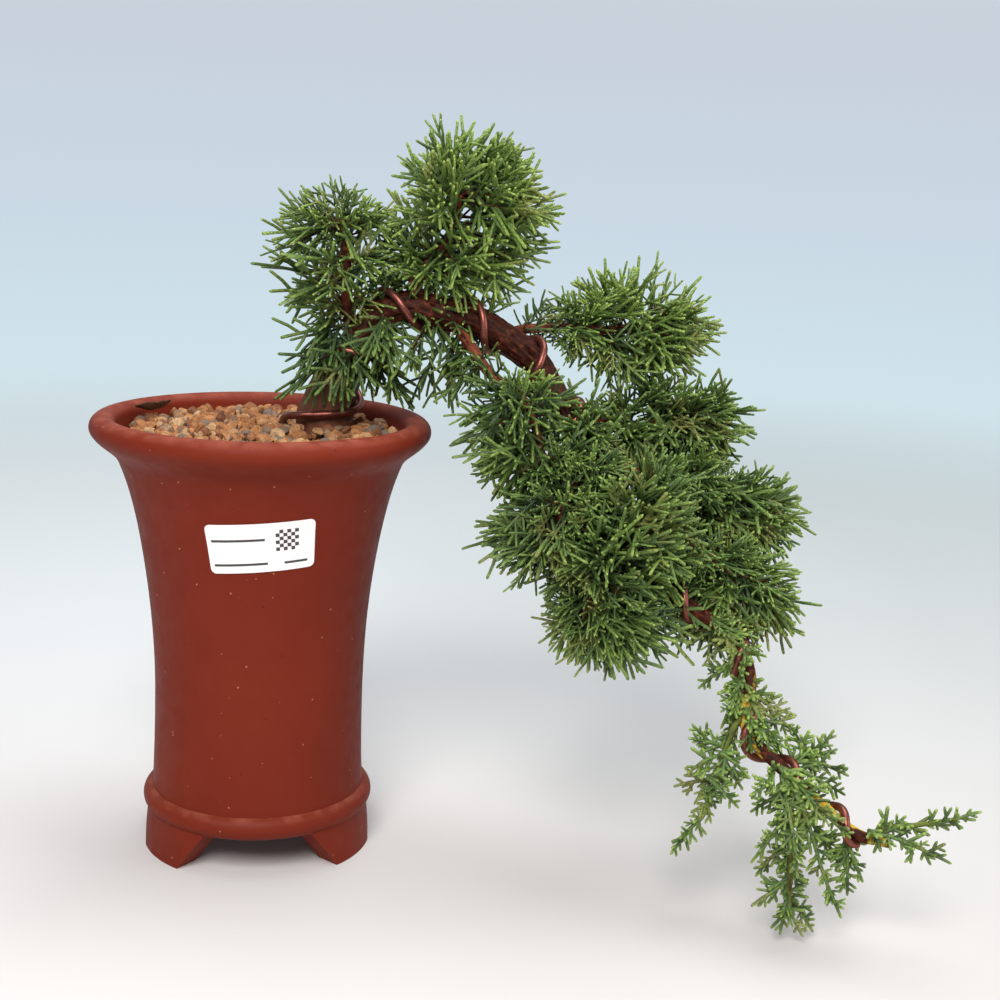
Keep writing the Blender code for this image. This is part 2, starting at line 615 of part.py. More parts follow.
def make_tree(parent, soil):
    """Trunk, branches, wire and foliage, with the soil cut to take the trunk and the wire."""
    bark = material("bark", BARK, 0.6)
    twig = material("twig_bark", TWIG, 0.7)
    trunk, trunk_guide = make_stem("trunk", TRUNK_ROUTE, parent, bark, 7 * MM, 3)
    wire, wire_guide = make_wire(parent)
    guides = [trunk_guide, wire_guide, make_pot_guide(parent)]
    cut(soil, trunk_guide)
    cut(soil, wire_guide)
    for name, rows in BRANCH_ROUTES.items():
        branch, branch_guide = make_stem(name, rows, parent, twig, 6 * MM, 1)
        cut(branch, trunk_guide)
        guides.append(branch_guide)
    make_foliage(parent, guides)


def build():
    """The whole plant, in the order it would be potted."""
    for old in list(bpy.data.objects):
        bpy.data.objects.remove(old)
    pot_axis = empty("pot_axis", (*POT_AXIS, 0))
    collar = empty("collar", (POT_AXIS[0] + COLLAR_OFFSET[0], POT_AXIS[1] + COLLAR_OFFSET[1],
                              gravel_level()))
    make_pot(pot_axis)
    make_drain_mesh(pot_axis)
    make_mesh_clip(pot_axis)
    soil = make_soil(pot_axis)
    make_label(pot_axis)
    make_dry_leaf(pot_axis)
    make_tree(collar, soil)


build()
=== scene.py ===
# %% [markdown]
# # A cascade juniper bonsai in a clay pot
#
# A small juniper leans out of a tall red clay pot, arches over the rim and hangs down beside
# it. A soft metal wire is wound round its trunk to hold the bend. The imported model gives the
# place and size of every piece. This script makes the same pieces again with a fine surface:
# turned clay, loose gravel, flaky bark, bright wire and a few thousand scaly green shoots.
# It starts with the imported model, because every place below is measured from it.

# %% Load the frame
import math
import random

import bmesh
import bpy
import numpy as np
from mathutils import Matrix, Vector, noise


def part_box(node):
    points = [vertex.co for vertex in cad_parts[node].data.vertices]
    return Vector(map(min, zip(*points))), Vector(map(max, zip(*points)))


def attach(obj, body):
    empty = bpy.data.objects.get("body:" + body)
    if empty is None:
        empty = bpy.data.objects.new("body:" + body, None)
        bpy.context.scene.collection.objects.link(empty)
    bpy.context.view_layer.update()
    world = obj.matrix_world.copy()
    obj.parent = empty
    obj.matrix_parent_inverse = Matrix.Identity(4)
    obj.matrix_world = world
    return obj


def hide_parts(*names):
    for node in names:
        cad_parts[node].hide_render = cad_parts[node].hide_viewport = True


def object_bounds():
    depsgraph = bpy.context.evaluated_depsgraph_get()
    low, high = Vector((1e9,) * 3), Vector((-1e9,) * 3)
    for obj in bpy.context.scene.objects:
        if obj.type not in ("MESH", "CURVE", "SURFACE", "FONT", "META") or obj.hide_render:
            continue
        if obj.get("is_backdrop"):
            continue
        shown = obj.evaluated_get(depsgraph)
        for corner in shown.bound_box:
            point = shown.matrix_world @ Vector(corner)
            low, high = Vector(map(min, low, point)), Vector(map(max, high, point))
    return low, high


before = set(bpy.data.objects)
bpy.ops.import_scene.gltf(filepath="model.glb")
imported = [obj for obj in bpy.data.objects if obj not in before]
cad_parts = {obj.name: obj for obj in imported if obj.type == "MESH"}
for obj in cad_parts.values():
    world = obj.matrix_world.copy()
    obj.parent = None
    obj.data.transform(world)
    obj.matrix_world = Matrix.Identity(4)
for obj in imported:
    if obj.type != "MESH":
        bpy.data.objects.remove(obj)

cad_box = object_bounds()
MM = 0.001
print("frame:", len(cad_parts), "nodes, box", [tuple(round(c, 4) for c in p) for p in cad_box])

# %% [markdown]
# The camera stands in front of the pot, a little above its rim and slightly to the left of
# the cascade, and looks down by twelve degrees. It could be aimed with a tracking constraint,
# but three plain angles say exactly how it is held: pitch, heading and a small roll. The
# distance is counted from the pot's axis, which the box of the turned pot gives.

# %% Camera
pot_low, pot_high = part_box("pot")
soil_low, soil_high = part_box("soil")
pot_axis = Vector(((soil_low.x + soil_high.x) / 2, (soil_low.y + soil_high.y) / 2, 0))
CAMERA_BACK = 589.1 * MM
CAMERA_HEIGHT = 264.9 * MM
CAMERA_PITCH = math.radians(12.08)
CAMERA_HEADING = math.radians(8.91)
CAMERA_ROLL = math.radians(2.55)
camera = bpy.data.objects.new("camera", bpy.data.cameras.new("camera"))
camera.data.lens = 55.98
camera.data.sensor_width = 36
camera.data.clip_start = 10 * MM
camera.location = pot_axis + Vector((0, -CAMERA_BACK, CAMERA_HEIGHT))
camera.rotation_euler = (Matrix.Rotation(-CAMERA_HEADING, 4, "Z")
                         @ Matrix.Rotation(math.radians(90) - CAMERA_PITCH, 4, "X")
                         @ Matrix.Rotation(CAMERA_ROLL, 4, "Z")).to_euler()
bpy.context.scene.collection.objects.link(camera)
bpy.context.scene.camera = camera
bpy.context.scene.view_settings.view_transform = "Standard"
print("camera at", [round(c, 4) for c in camera.location])

# %% [markdown]
# A studio table is a pale sheet that runs up behind the object without a corner. It could be
# a bent sheet, but that would stand in the way when the plant is seen from behind. So the
# floor is a flat disc that thins out towards its edge, and the world behind it is painted in
# the same pale tones: warm white low down, a cool grey blue higher up. The light is soft and
# plain: a dim sky all round, a strong lamp high in front, one above, and a weak one at the
# side that keeps the far side of the pot open.

# %% Mesh and node helpers
def mesh_from(name, body):
    """A mesh made from a bmesh, which is freed."""
    mesh = bpy.data.meshes.new(name)
    body.to_mesh(mesh)
    body.free()
    return mesh


def add_object(name, data):
    """A new object in the scene."""
    made = bpy.data.objects.new(name, data)
    bpy.context.scene.collection.objects.link(made)
    return made


def link(tree, source, target):
    """Join an output socket to an input socket."""
    tree.links.new(source, target)


def add_node(tree, kind, **settings):
    """Add a node of a kind, with its settings and its unlinked inputs by name."""
    node = tree.nodes.new("ShaderNode" + kind)
    for name, value in settings.items():
        if name in node.inputs:
            node.inputs[name].default_value = value
        else:
            setattr(node, name, value)
    return node


def multiply(tree, first, second):
    """The product of two values."""
    node = add_node(tree, "Math", operation="MULTIPLY")
    link(tree, first, node.inputs[0])
    link(tree, second, node.inputs[1])
    return node.outputs[0]


def ramp(tree, source, *stops):
    """A colour ramp read from a value; each stop is a position and a linear colour."""
    node = tree.nodes.new("ShaderNodeValToRGB")
    while len(node.color_ramp.elements) < len(stops):
        node.color_ramp.elements.new(0.5)
    for element, (position, colour) in zip(node.color_ramp.elements, stops):
        element.position = position
        element.color = (*colour, 1.0)
    link(tree, source, node.inputs["Fac"])
    return node.outputs["Color"]


# %% Floor, sky and lamps
world = bpy.data.worlds.new("studio")
bpy.context.scene.world = world
world.use_nodes = True
sky = world.node_tree
direction = add_node(sky, "TexCoord")
height = add_node(sky, "SeparateXYZ")
link(sky, direction.outputs["Generated"], height.inputs[0])
level = add_node(sky, "MapRange")
level.inputs["From Min"].default_value = -0.5
level.inputs["From Max"].default_value = 0.5
link(sky, height.outputs["Z"], level.inputs["Value"])
backdrop = ramp(sky, level.outputs["Result"], (0.05, (0.80, 0.80, 0.79)), (0.22, (0.76, 0.82, 0.84)),
                (0.36, (0.64, 0.78, 0.83)), (0.46, (0.59, 0.70, 0.79)), (0.57, (0.58, 0.64, 0.71)),
                (0.9, (0.66, 0.70, 0.75)))
sky_light = sky.nodes["Background"]
sky_light.inputs["Color"].default_value = (0.86, 0.93, 1.0, 1.0)
sky_light.inputs["Strength"].default_value = 0.46
seen_sky = add_node(sky, "Background")
link(sky, backdrop, seen_sky.inputs["Color"])
ray = add_node(sky, "LightPath")
either = sky.nodes.new("ShaderNodeMixShader")
link(sky, ray.outputs["Is Camera Ray"], either.inputs[0])
link(sky, sky_light.outputs[0], either.inputs[1])
link(sky, seen_sky.outputs[0], either.inputs[2])
link(sky, either.outputs[0], sky.nodes["World Output"].inputs["Surface"])


LAMP_TARGET = Vector((0, 0, 0.13))


def add_lamp(name, place, size, watts, colour):
    """A square soft lamp that faces the middle of the plant."""
    lamp = add_object(name, bpy.data.lights.new(name, "AREA"))
    lamp.data.size = size
    lamp.data.energy = watts
    lamp.data.color = colour
    lamp.location = place
    lamp.rotation_euler = (Vector(place) - LAMP_TARGET).to_track_quat("Z", "Y").to_euler()


add_lamp("key_lamp", (-0.35, -1.15, 1.25), 0.75, 27, (1.0, 0.98, 0.95))
add_lamp("top_lamp", (0.25, 0.25, 1.5), 1.0, 13, (1.0, 1.0, 1.0))
add_lamp("fill_lamp", (1.3, -0.5, 0.6), 0.8, 7, (0.95, 0.98, 1.0))

FLOOR_SOLID = 0.45
FLOOR_GONE = 1.5
floor_body = bmesh.new()
bmesh.ops.create_circle(floor_body, cap_ends=True, segments=96, radius=FLOOR_GONE)
floor_mesh = mesh_from("floor", floor_body)
floor = add_object("floor", floor_mesh)
floor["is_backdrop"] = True
floor_paint = bpy.data.materials.new("floor_paint")
floor_paint.use_nodes = True
floor_tree = floor_paint.node_tree
floor_place = add_node(floor_tree, "TexCoord").outputs["Object"]
floor_cloud = add_node(floor_tree, "TexNoise", Scale=3.0)
link(floor_tree, floor_place, floor_cloud.inputs["Vector"])
floor_sides = add_node(floor_tree, "SeparateXYZ")
link(floor_tree, floor_place, floor_sides.inputs[0])
floor_shift = add_node(floor_tree, "Math", operation="MULTIPLY_ADD")
floor_shift.inputs[1].default_value = 0.25
link(floor_tree, floor_cloud.outputs["Fac"], floor_shift.inputs[0])
link(floor_tree, floor_sides.outputs["X"], floor_shift.inputs[2])
# The floor is painted darker towards the right, a painted shade that the noise breaks up a little.
floor_shade = ramp(floor_tree, floor_shift.outputs[0], (0.0, (0.68, 0.71, 0.72)),
                   (0.45, (0.53, 0.565, 0.565)))
floor_depth = add_node(floor_tree, "Math", operation="ADD")
floor_depth.inputs[1].default_value = 0.5
link(floor_tree, floor_sides.outputs["Y"], floor_depth.inputs[0])
# It is painted warmer near the front as well: a painted warm light on the floor.
painted_floor_warmth = ramp(floor_tree, floor_depth.outputs[0], (0.40, (1.0, 0.90, 0.865)),
                    (0.95, (0.93, 0.93, 0.93)))
floor_colour = add_node(floor_tree, "VectorMath", operation="MULTIPLY")
link(floor_tree, floor_shade, floor_colour.inputs[0])
link(floor_tree, painted_floor_warmth, floor_colour.inputs[1])
floor_shader = floor_tree.nodes["Principled BSDF"]
link(floor_tree, floor_colour.outputs[0], floor_shader.inputs["Base Color"])
floor_shader.inputs["Roughness"].default_value = 0.8
reach = add_node(floor_tree, "VectorMath", operation="LENGTH")
link(floor_tree, floor_place, reach.inputs[0])
fade = add_node(floor_tree, "MapRange", interpolation_type="SMOOTHSTEP")
for name, value in (("From Min", FLOOR_SOLID), ("From Max", FLOOR_GONE),
                    ("To Min", 1.0), ("To Max", 0.0)):
    fade.inputs[name].default_value = value
link(floor_tree, reach.outputs["Value"], fade.inputs["Value"])
link(floor_tree, fade.outputs["Result"], floor_shader.inputs["Alpha"])
floor_mesh.materials.append(floor_paint)

# %% [markdown]
# Every new piece ends the same way: its faces are turned outwards, it is shaded smooth with
# its sharp edges kept, it gets its finish, and it is tied to the pot's body so that the plant
# moves as one. Tubes are the other shape that comes back, for bark, wire and shoots. A curve
# with a round bevel would do, but a face that is extruded from place to place leaves rings of
# points behind it, and bark can then be pushed in and out ring by ring.

# %% Piece and tube helpers
def add_piece(name, body, finish, nodes=(), sharp=50):
    """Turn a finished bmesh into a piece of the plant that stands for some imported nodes."""
    bmesh.ops.recalc_face_normals(body, faces=body.faces)
    mesh = mesh_from(name, body)
    mesh.shade_smooth()
    mesh.set_sharp_from_angle(angle=math.radians(sharp))
    mesh.materials.append(finish)
    piece = add_object(name, mesh)
    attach(piece, "root")
    if nodes:
        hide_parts(*nodes)
    print(name, len(mesh.polygons), "faces")


def smooth_route(rows, step):
    """Rows about step apart on one smooth curve through rows given in millimetres."""
    rows = np.array(rows, dtype=float) * MM
    padded = np.vstack([2 * rows[0] - rows[1], rows, 2 * rows[-1] - rows[-2]])
    found = []
    for before, start, end, after in zip(padded, padded[1:], padded[2:], padded[3:]):
        count = max(1, round(np.linalg.norm((end - start)[:3]) / step))
        for share in np.arange(count) / count:
            found.append(0.5 * (2 * start + (end - before) * share
                                + (2 * before - 5 * start + 4 * end - after) * share ** 2
                                + (3 * start - before - 3 * end + after) * share ** 3))
    found.append(rows[-1])
    return np.array(found)


def grow_tube(body, places, radii, sides):
    """Extrude a round face from place to place; returns the frames and the rings of points."""
    places = [Vector(place) for place in places]
    heading = (places[1] - places[0]).normalized()
    turn = heading.to_track_quat("Z", "Y").to_matrix()
    frames = []
    for number, place in enumerate(places):
        ahead = places[min(number + 1, len(places) - 1)]
        behind = places[max(number - 1, 0)]
        new_heading = (ahead - behind).normalized()
        turn = heading.rotation_difference(new_heading).to_matrix() @ turn
        heading = new_heading
        frames.append(Matrix.Translation(place) @ turn.to_4x4())
    ring = bmesh.ops.create_circle(body, cap_ends=True, segments=sides, radius=radii[0],
                                   matrix=frames[0])["verts"]
    rings = [ring]
    face = ring[0].link_faces[0]
    for number in range(1, len(places)):
        grown = bmesh.ops.extrude_face_region(body, geom=[face])["geom"]
        ring = [item for item in grown if isinstance(item, bmesh.types.BMVert)]
        face = next(item for item in grown if isinstance(item, bmesh.types.BMFace))
        move = (frames[number] @ Matrix.Scale(radii[number] / radii[number - 1], 4)
                @ frames[number - 1].inverted())
        bmesh.ops.transform(body, matrix=move, verts=ring)
        rings.append(ring)
    return frames, rings


# %% Finish helper
def new_finish(name, roughness, metallic=0.0):
    """A material with its node tree, its shader and the piece's own coordinates."""
    finish = bpy.data.materials.new(name)
    finish.use_nodes = True
    tree = finish.node_tree
    shader = tree.nodes["Principled BSDF"]
    shader.inputs["Roughness"].default_value = roughness
    shader.inputs["Metallic"].default_value = metallic
    place = add_node(tree, "TexCoord").outputs["Object"]
    return finish, tree, shader, place


def grain_of(tree, place, scale, detail=3.0, rough=0.55):
    """A cloudy value between 0 and 1, in the piece's own coordinates."""
    node = add_node(tree, "TexNoise", Scale=scale, Detail=detail, Roughness=rough)
    link(tree, place, node.inputs["Vector"])
    return node.outputs["Fac"]


def blend_colours(tree, amount, first, second):
    """Mix two colours, each a socket or a linear colour, by a socket or a number."""
    node = tree.nodes.new("ShaderNodeMix")
    node.data_type = "RGBA"
    for value, socket in ((amount, node.inputs[0]), (first, node.inputs[6]),
                          (second, node.inputs[7])):
        if isinstance(value, bpy.types.NodeSocket):
            link(tree, value, socket)
        elif isinstance(value, tuple):
            socket.default_value = (*value, 1.0)
        else:
            socket.default_value = value
    return node.outputs[2]


def shape_value(tree, source, low, high, bottom=0.0, top=1.0):
    """Stretch a value from low..high to bottom..top, and hold it there."""
    node = add_node(tree, "MapRange")
    for name, value in (("From Min", low), ("From Max", high), ("To Min", bottom),
                        ("To Max", top)):
        node.inputs[name].default_value = value
    link(tree, source, node.inputs["Value"])
    return node.outputs["Result"]


def raise_surface(tree, shader, source, distance, strength=1.0, under=None):
    """Bump: a value seen as height, in metres, on top of another bump if there is one."""
    node = add_node(tree, "Bump", Strength=strength, Distance=distance)
    link(tree, source, node.inputs["Height"])
    if under:
        link(tree, under, node.inputs["Normal"])
    link(tree, node.outputs["Normal"], shader.inputs["Normal"])
    return node.outputs["Normal"]


print("helpers ready")

# %% [markdown]
# The pot is unglazed red stoneware, thrown in one piece: a trumpet that narrows to a waist,
# a round bead above three feet, and a rolled lip. It could be lofted from rings, but a thrown
# pot is a turned shape, so its half section is drawn once and spun. The flare is a formula,
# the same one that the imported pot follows: nearly straight above the foot, then opening
# faster and faster up to the lip.

# %% Section of the pot
POT_HEIGHT = pot_high.z
RIM_RADIUS = 64.0 * MM
LIP_DEPTH = 12.3 * MM
LIP_OVERHANG = 8.35 * MM
LIP_INWARD = 2.4 * MM
WAIST_RADIUS = 40.15 * MM
WAIST_HEIGHT = 60.0 * MM
BASE_SPREAD = 0.95 * MM
BEAD_HEIGHT = 19.3 * MM
BEAD_RADIUS = 4.5 * MM
BEAD_PROUD = 3.3 * MM
WALL = 5.0 * MM
FOOT_HEIGHT = 14.4 * MM
FLOOR_THICKNESS = 7.0 * MM
FLOOR_CURVE = 4.0 * MM
DRAIN_RADIUS = 9.0 * MM
GAP = 0.3 * MM
mouth_height = POT_HEIGHT - LIP_DEPTH
bead_top = BEAD_HEIGHT + BEAD_RADIUS


def flare(height):
    """Outer radius of the pot's body at a height."""
    if height < WAIST_HEIGHT:
        down = (WAIST_HEIGHT - height) / (WAIST_HEIGHT - FOOT_HEIGHT - BEAD_RADIUS * 2)
        return WAIST_RADIUS + BASE_SPREAD * down ** 2
    up = (height - WAIST_HEIGHT) / (mouth_height - WAIST_HEIGHT)
    spread = RIM_RADIUS - LIP_OVERHANG - WAIST_RADIUS
    return WAIST_RADIUS + spread * (0.81 * up ** 2 + 0.19 * up ** 8)


def arc(centre, radii, start, end, count):
    """Points along part of an ellipse, as (radius, height), angles in degrees."""
    angles = [math.radians(start + (end - start) * n / (count - 1)) for n in range(count)]
    return [(centre[0] + radii[0] * math.cos(a), centre[1] + radii[1] * math.sin(a))
            for a in angles]


def ease_between(leaving, arriving, count):
    """Points of a smooth curve that carries on one pair of points and runs into another."""
    start, end = Vector(leaving[1]), Vector(arriving[0])
    span = (end - start).length
    leave = (start - Vector(leaving[0])).normalized() * span
    arrive = (Vector(arriving[1]) - end).normalized() * span
    found = []
    for number in range(1, count):
        t = number / count
        place = (start * (2 * t ** 3 - 3 * t ** 2 + 1) + leave * (t ** 3 - 2 * t ** 2 + t)
                 + end * (3 * t ** 2 - 2 * t ** 3) + arrive * (t ** 3 - t ** 2))
        found.append(tuple(place))
    return found


def pot_section():
    """Closed outline of half the pot, from the drain hole round the outside and back."""
    floor_top = FOOT_HEIGHT + FLOOR_THICKNESS
    outline = arc((DRAIN_RADIUS + 0.8 * MM, FOOT_HEIGHT + 0.8 * MM), (0.8 * MM,) * 2, 180, 270, 4)
    bead_centre = flare(BEAD_HEIGHT) + BEAD_PROUD - BEAD_RADIUS
    outline += arc((bead_centre, BEAD_HEIGHT), (BEAD_RADIUS,) * 2, -75, 58, 16)
    under_lip = mouth_height - 5.0 * MM
    heights = np.linspace(bead_top - 0.2 * MM, under_lip, 44)
    outline += [(flare(height), height) for height in heights]
    lip_inside = flare(POT_HEIGHT - LIP_DEPTH / 4) - WALL - LIP_INWARD
    lip_middle = (RIM_RADIUS + lip_inside) / 2
    lip_half = (RIM_RADIUS - lip_inside) / 2
    lip_rise = LIP_DEPTH * 0.38
    roll = arc((lip_middle, POT_HEIGHT - lip_rise), (lip_half, lip_rise), -38, 180, 26)
    outline += ease_between(outline[-2:], roll[:2], 9) + roll
    low = floor_top + FLOOR_CURVE
    for height in np.linspace(mouth_height, low, 16):
        outline.append((flare(height) - WALL, height))
    inside = flare(low) - WALL
    outline += arc((inside - FLOOR_CURVE, low), (FLOOR_CURVE,) * 2, 0, -90, 6)[1:]
    outline += arc((DRAIN_RADIUS + 0.8 * MM, floor_top - 0.8 * MM), (0.8 * MM,) * 2, 90, 180, 4)
    return outline


section = pot_section()
print("pot section:", len(section), "points, rim", round(max(r for r, h in section) * 1000, 1), "mm")

# %% [markdown]
# Spinning one edge loop with merged ends gives a closed skin. Real pots are never quite true:
# the wall wavers by a tenth of a millimetre or two, where the potter's fingers and the kiln
# left their mark, so the spun points are nudged by a slow noise. The three feet are thick
# arcs cut under the bead. Each is a section spun through a part turn, sliced by two slanting
# planes, and rounded with a bevel, and a union joins the feet to the body so that the inside
# holds no hidden faces.

# %% Spin the pot and join its feet
POT_SEGMENTS = 144
WALL_WAVER = 0.22 * MM
FOOT_THICKNESS = 10.0 * MM
FOOT_FLARE = 1.8 * MM
FOOT_TOP_ANGLE = math.radians(31)
FOOT_BOTTOM_ANGLE = math.radians(17)
FOOT_BEARINGS = [math.radians(a) for a in (-30, 90, 210)]


def spin_section(outline, segments):
    """Turn a (radius, height) outline round the Z axis; a closed outline makes a ring."""
    body = bmesh.new()
    corners = [body.verts.new((radius, 0, height)) for radius, height in outline]
    pairs = list(zip(corners, corners[1:]))
    if outline[0][0] > 0:
        pairs.append((corners[-1], corners[0]))
    edges = [body.edges.new(pair) for pair in pairs]
    bmesh.ops.spin(body, geom=corners + edges, axis=(0, 0, 1), cent=(0, 0, 0),
                   angle=math.tau, steps=segments, use_merge=True)
    bmesh.ops.remove_doubles(body, verts=body.verts, dist=0.01 * MM)
    return body


def foot_body(bearing):
    """One foot: a thick arc with slanting sides and rounded lower edges."""
    outer = flare(FOOT_HEIGHT) + 1.0 * MM
    top = FOOT_HEIGHT + FLOOR_THICKNESS / 3
    body = bmesh.new()
    corners = [body.verts.new((radius, 0, height)) for radius, height in
               ((outer - FOOT_THICKNESS, top), (outer, top), (outer + FOOT_FLARE, 0),
                (outer - FOOT_THICKNESS + FOOT_FLARE, 0))]
    face = body.faces.new(corners)
    bmesh.ops.rotate(body, verts=body.verts, cent=(0, 0, 0),
                     matrix=Matrix.Rotation(-FOOT_TOP_ANGLE * 1.2, 3, "Z"))
    bmesh.ops.spin(body, geom=[face] + face.edges[:] + face.verts[:], axis=(0, 0, 1),
                   cent=(0, 0, 0), angle=FOOT_TOP_ANGLE * 2.4, steps=23)
    bmesh.ops.recalc_face_normals(body, faces=body.faces)
    for side in (-1, 1):
        upper = Vector((math.cos(FOOT_TOP_ANGLE), side * math.sin(FOOT_TOP_ANGLE), 0)) * outer
        upper.z = FOOT_HEIGHT
        radial = Vector((math.cos(FOOT_BOTTOM_ANGLE), side * math.sin(FOOT_BOTTOM_ANGLE), 0))
        normal = (upper - radial * outer).cross(radial)
        if normal.y * side < 0:
            normal.negate()
        cut = bmesh.ops.bisect_plane(body, geom=body.verts[:] + body.edges[:] + body.faces[:],
                                     plane_co=upper, plane_no=normal, clear_outer=True)
        rim = [item for item in cut["geom_cut"] if isinstance(item, bmesh.types.BMEdge)]
        bmesh.ops.holes_fill(body, edges=rim, sides=0)
    bmesh.ops.recalc_face_normals(body, faces=body.faces)
    low_edges = [edge for edge in body.edges if len(edge.link_faces) == 2
                 and edge.calc_face_angle() > math.radians(35)
                 and min(v.co.z for v in edge.verts) < 0.1 * MM]
    bmesh.ops.bevel(body, geom=low_edges, offset=2.4 * MM, offset_type="OFFSET", segments=5,
                    profile=0.5, affect="EDGES", material=-1, clamp_overlap=True)
    bmesh.ops.rotate(body, verts=body.verts, cent=(0, 0, 0),
                     matrix=Matrix.Rotation(bearing, 3, "Z"))
    return body


def combine(bodies, operation):
    """Join closed bodies to the first, or cut them from it, and return the new bmesh."""
    objects = []
    for body in bodies:
        bmesh.ops.recalc_face_normals(body, faces=body.faces)
        objects.append(add_object("shell", mesh_from("shell", body)))
    for other in objects[1:]:
        step = objects[0].modifiers.new("combine", "BOOLEAN")
        step.operation = operation
        step.object = other
    evaluated = objects[0].evaluated_get(bpy.context.evaluated_depsgraph_get())
    combined = bmesh.new()
    combined.from_mesh(evaluated.to_mesh())
    for made in objects:
        bpy.data.objects.remove(made)
    return combined


thrown = spin_section(section, POT_SEGMENTS)
pot_body = combine([thrown] + [foot_body(bearing) for bearing in FOOT_BEARINGS], "UNION")
for vert in pot_body.verts:
    if vert.co.z > bead_top:
        outward = vert.co.xy.normalized().to_3d()
        vert.co += outward * WALL_WAVER * noise.noise(vert.co * 22)
bmesh.ops.translate(pot_body, verts=pot_body.verts, vec=pot_axis)
print("pot:", len(pot_body.faces), "faces")

# %% [markdown]
# Red stoneware fired without a glaze is dull, but not flat. The colour drifts a little in
# large soft patches, and the body is peppered with tiny pale grits and a few dark pinholes.
# Faces that look up, such as the top of the lip and the groove over the bead, are painted paler
# in patches: a painted sheen where the light falls from above. A painted map would show the same
# thing, but a pattern on the piece's own coordinates has no seams and never repeats.

# %% Clay
clay, tree, shader, place = new_finish("clay", 0.55)
shader.inputs["Specular IOR Level"].default_value = 0.14
patches = grain_of(tree, place, 16, 3)
mottle = grain_of(tree, place, 160, 4, 0.6)
grit = grain_of(tree, place, 1500, 2, 0.5)
body_colour = ramp(tree, patches, (0.30, (0.138, 0.0140, 0.0045)), (0.55, (0.160, 0.0172, 0.0055)),
                   (0.75, (0.180, 0.0210, 0.0070)))
body_colour = blend_colours(tree, shape_value(tree, mottle, 0.35, 0.75, 0.0, 0.35), body_colour,
                            (0.15, 0.015, 0.006))
specks = add_node(tree, "TexVoronoi", Scale=330.0)
link(tree, place, specks.inputs["Vector"])
speck_here = shape_value(tree, specks.outputs["Distance"], 0.09, 0.14, 1.0, 0.0)
speck_kind = add_node(tree, "SeparateColor")
link(tree, specks.outputs["Color"], speck_kind.inputs[0])
for channel, low, high, speck_colour in ((0, 0.86, 0.9, (0.36, 0.15, 0.10)),
                                         (1, 0.90, 0.93, (0.06, 0.012, 0.008))):
    chosen = shape_value(tree, speck_kind.outputs[channel], low, high)
    body_colour = blend_colours(tree, multiply(tree, speck_here, chosen), body_colour, speck_colour)
# Faces that look up are painted paler in patches: a painted sheen on the top of the lip and in the
# groove over the bead.
up_facing = add_node(tree, "NewGeometry")
facing = add_node(tree, "SeparateXYZ")
link(tree, up_facing.outputs["Normal"], facing.inputs[0])
painted_top_sheen = multiply(tree, shape_value(tree, facing.outputs["Z"], 0.45, 0.95, 0.0, 0.55),
                shape_value(tree, mottle, 0.40, 0.62, 0.25, 1.0))
body_colour = blend_colours(tree, painted_top_sheen, body_colour, (0.34, 0.10, 0.060))
link(tree, body_colour, shader.inputs["Base Color"])
link(tree, shape_value(tree, mottle, 0.3, 0.7, 0.50, 0.66), shader.inputs["Roughness"])
fine = raise_surface(tree, shader, grit, 0.05 * MM, 0.35)
slow = raise_surface(tree, shader, mottle, 0.12 * MM, 0.3, fine)
raise_surface(tree, shader, speck_here, -0.06 * MM, 0.5, slow)
add_piece("clay_pot", pot_body, clay, ["pot"], 38)

# %% [markdown]
# The pot is filled with soil, and the soil is topped with grit: loose grains of baked clay,
# some three to six millimetres across, most tan and orange, some brown, a few grey. One
# displaced disc would look like a pie crust, so the fill is a plain dark plug and every grain
# on it is a real stone. A handful of rough stones is made first, and each grain is a turned,
# squashed and tinted copy of one of them.

# %% Soil plug
GRAVEL_BELOW_RIM = 5.3 * MM
gravel_top = POT_HEIGHT - GRAVEL_BELOW_RIM
plug_top = gravel_top - 5.5 * MM
floor_inside = FOOT_HEIGHT + FLOOR_THICKNESS + GAP
wall_heights = np.linspace(floor_inside + FLOOR_CURVE, plug_top, 14)
plug_outline = [(0, floor_inside), (flare(floor_inside) - WALL - FLOOR_CURVE - 2 * GAP, floor_inside)]
plug_outline += [(flare(height) - WALL - 2 * GAP, height) for height in wall_heights]
plug_outline += [(0, plug_top)]
plug = spin_section(plug_outline, 72)
pocket = bmesh.new()
mesh_low, mesh_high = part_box("drain_mesh")
clip_low, clip_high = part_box("drain_mesh_clip")
bmesh.ops.create_cube(pocket, size=1.0)
bmesh.ops.scale(pocket, verts=pocket.verts, vec=(mesh_high.x - mesh_low.x + 2 * GAP,
                mesh_high.y - mesh_low.y + 2 * GAP, 2 * (clip_high.z - floor_inside + GAP)))
bmesh.ops.translate(pocket, verts=pocket.verts, vec=(0, 0, floor_inside))
soil_finish, tree, shader, place = new_finish("soil", 0.95)
crumbs = grain_of(tree, place, 420, 4, 0.7)
link(tree, ramp(tree, crumbs, (0.35, (0.035, 0.018, 0.010)), (0.6, (0.09, 0.048, 0.026)),
                (0.75, (0.20, 0.11, 0.06))), shader.inputs["Base Color"])
raise_surface(tree, shader, crumbs, 0.8 * MM, 0.9)
plug = combine([plug, pocket], "DIFFERENCE")
bmesh.ops.translate(plug, verts=plug.verts, vec=pot_axis)
add_piece("soil_plug", plug, soil_finish, ["soil"], 40)

# %% Rough stones
COLLAR_OFFSET = Vector((24 * MM, 12 * MM, 0))
collar = pot_axis + COLLAR_OFFSET + Vector((0, 0, gravel_top))
GRAIN_SHAPES = 9
draw = random.Random(7)


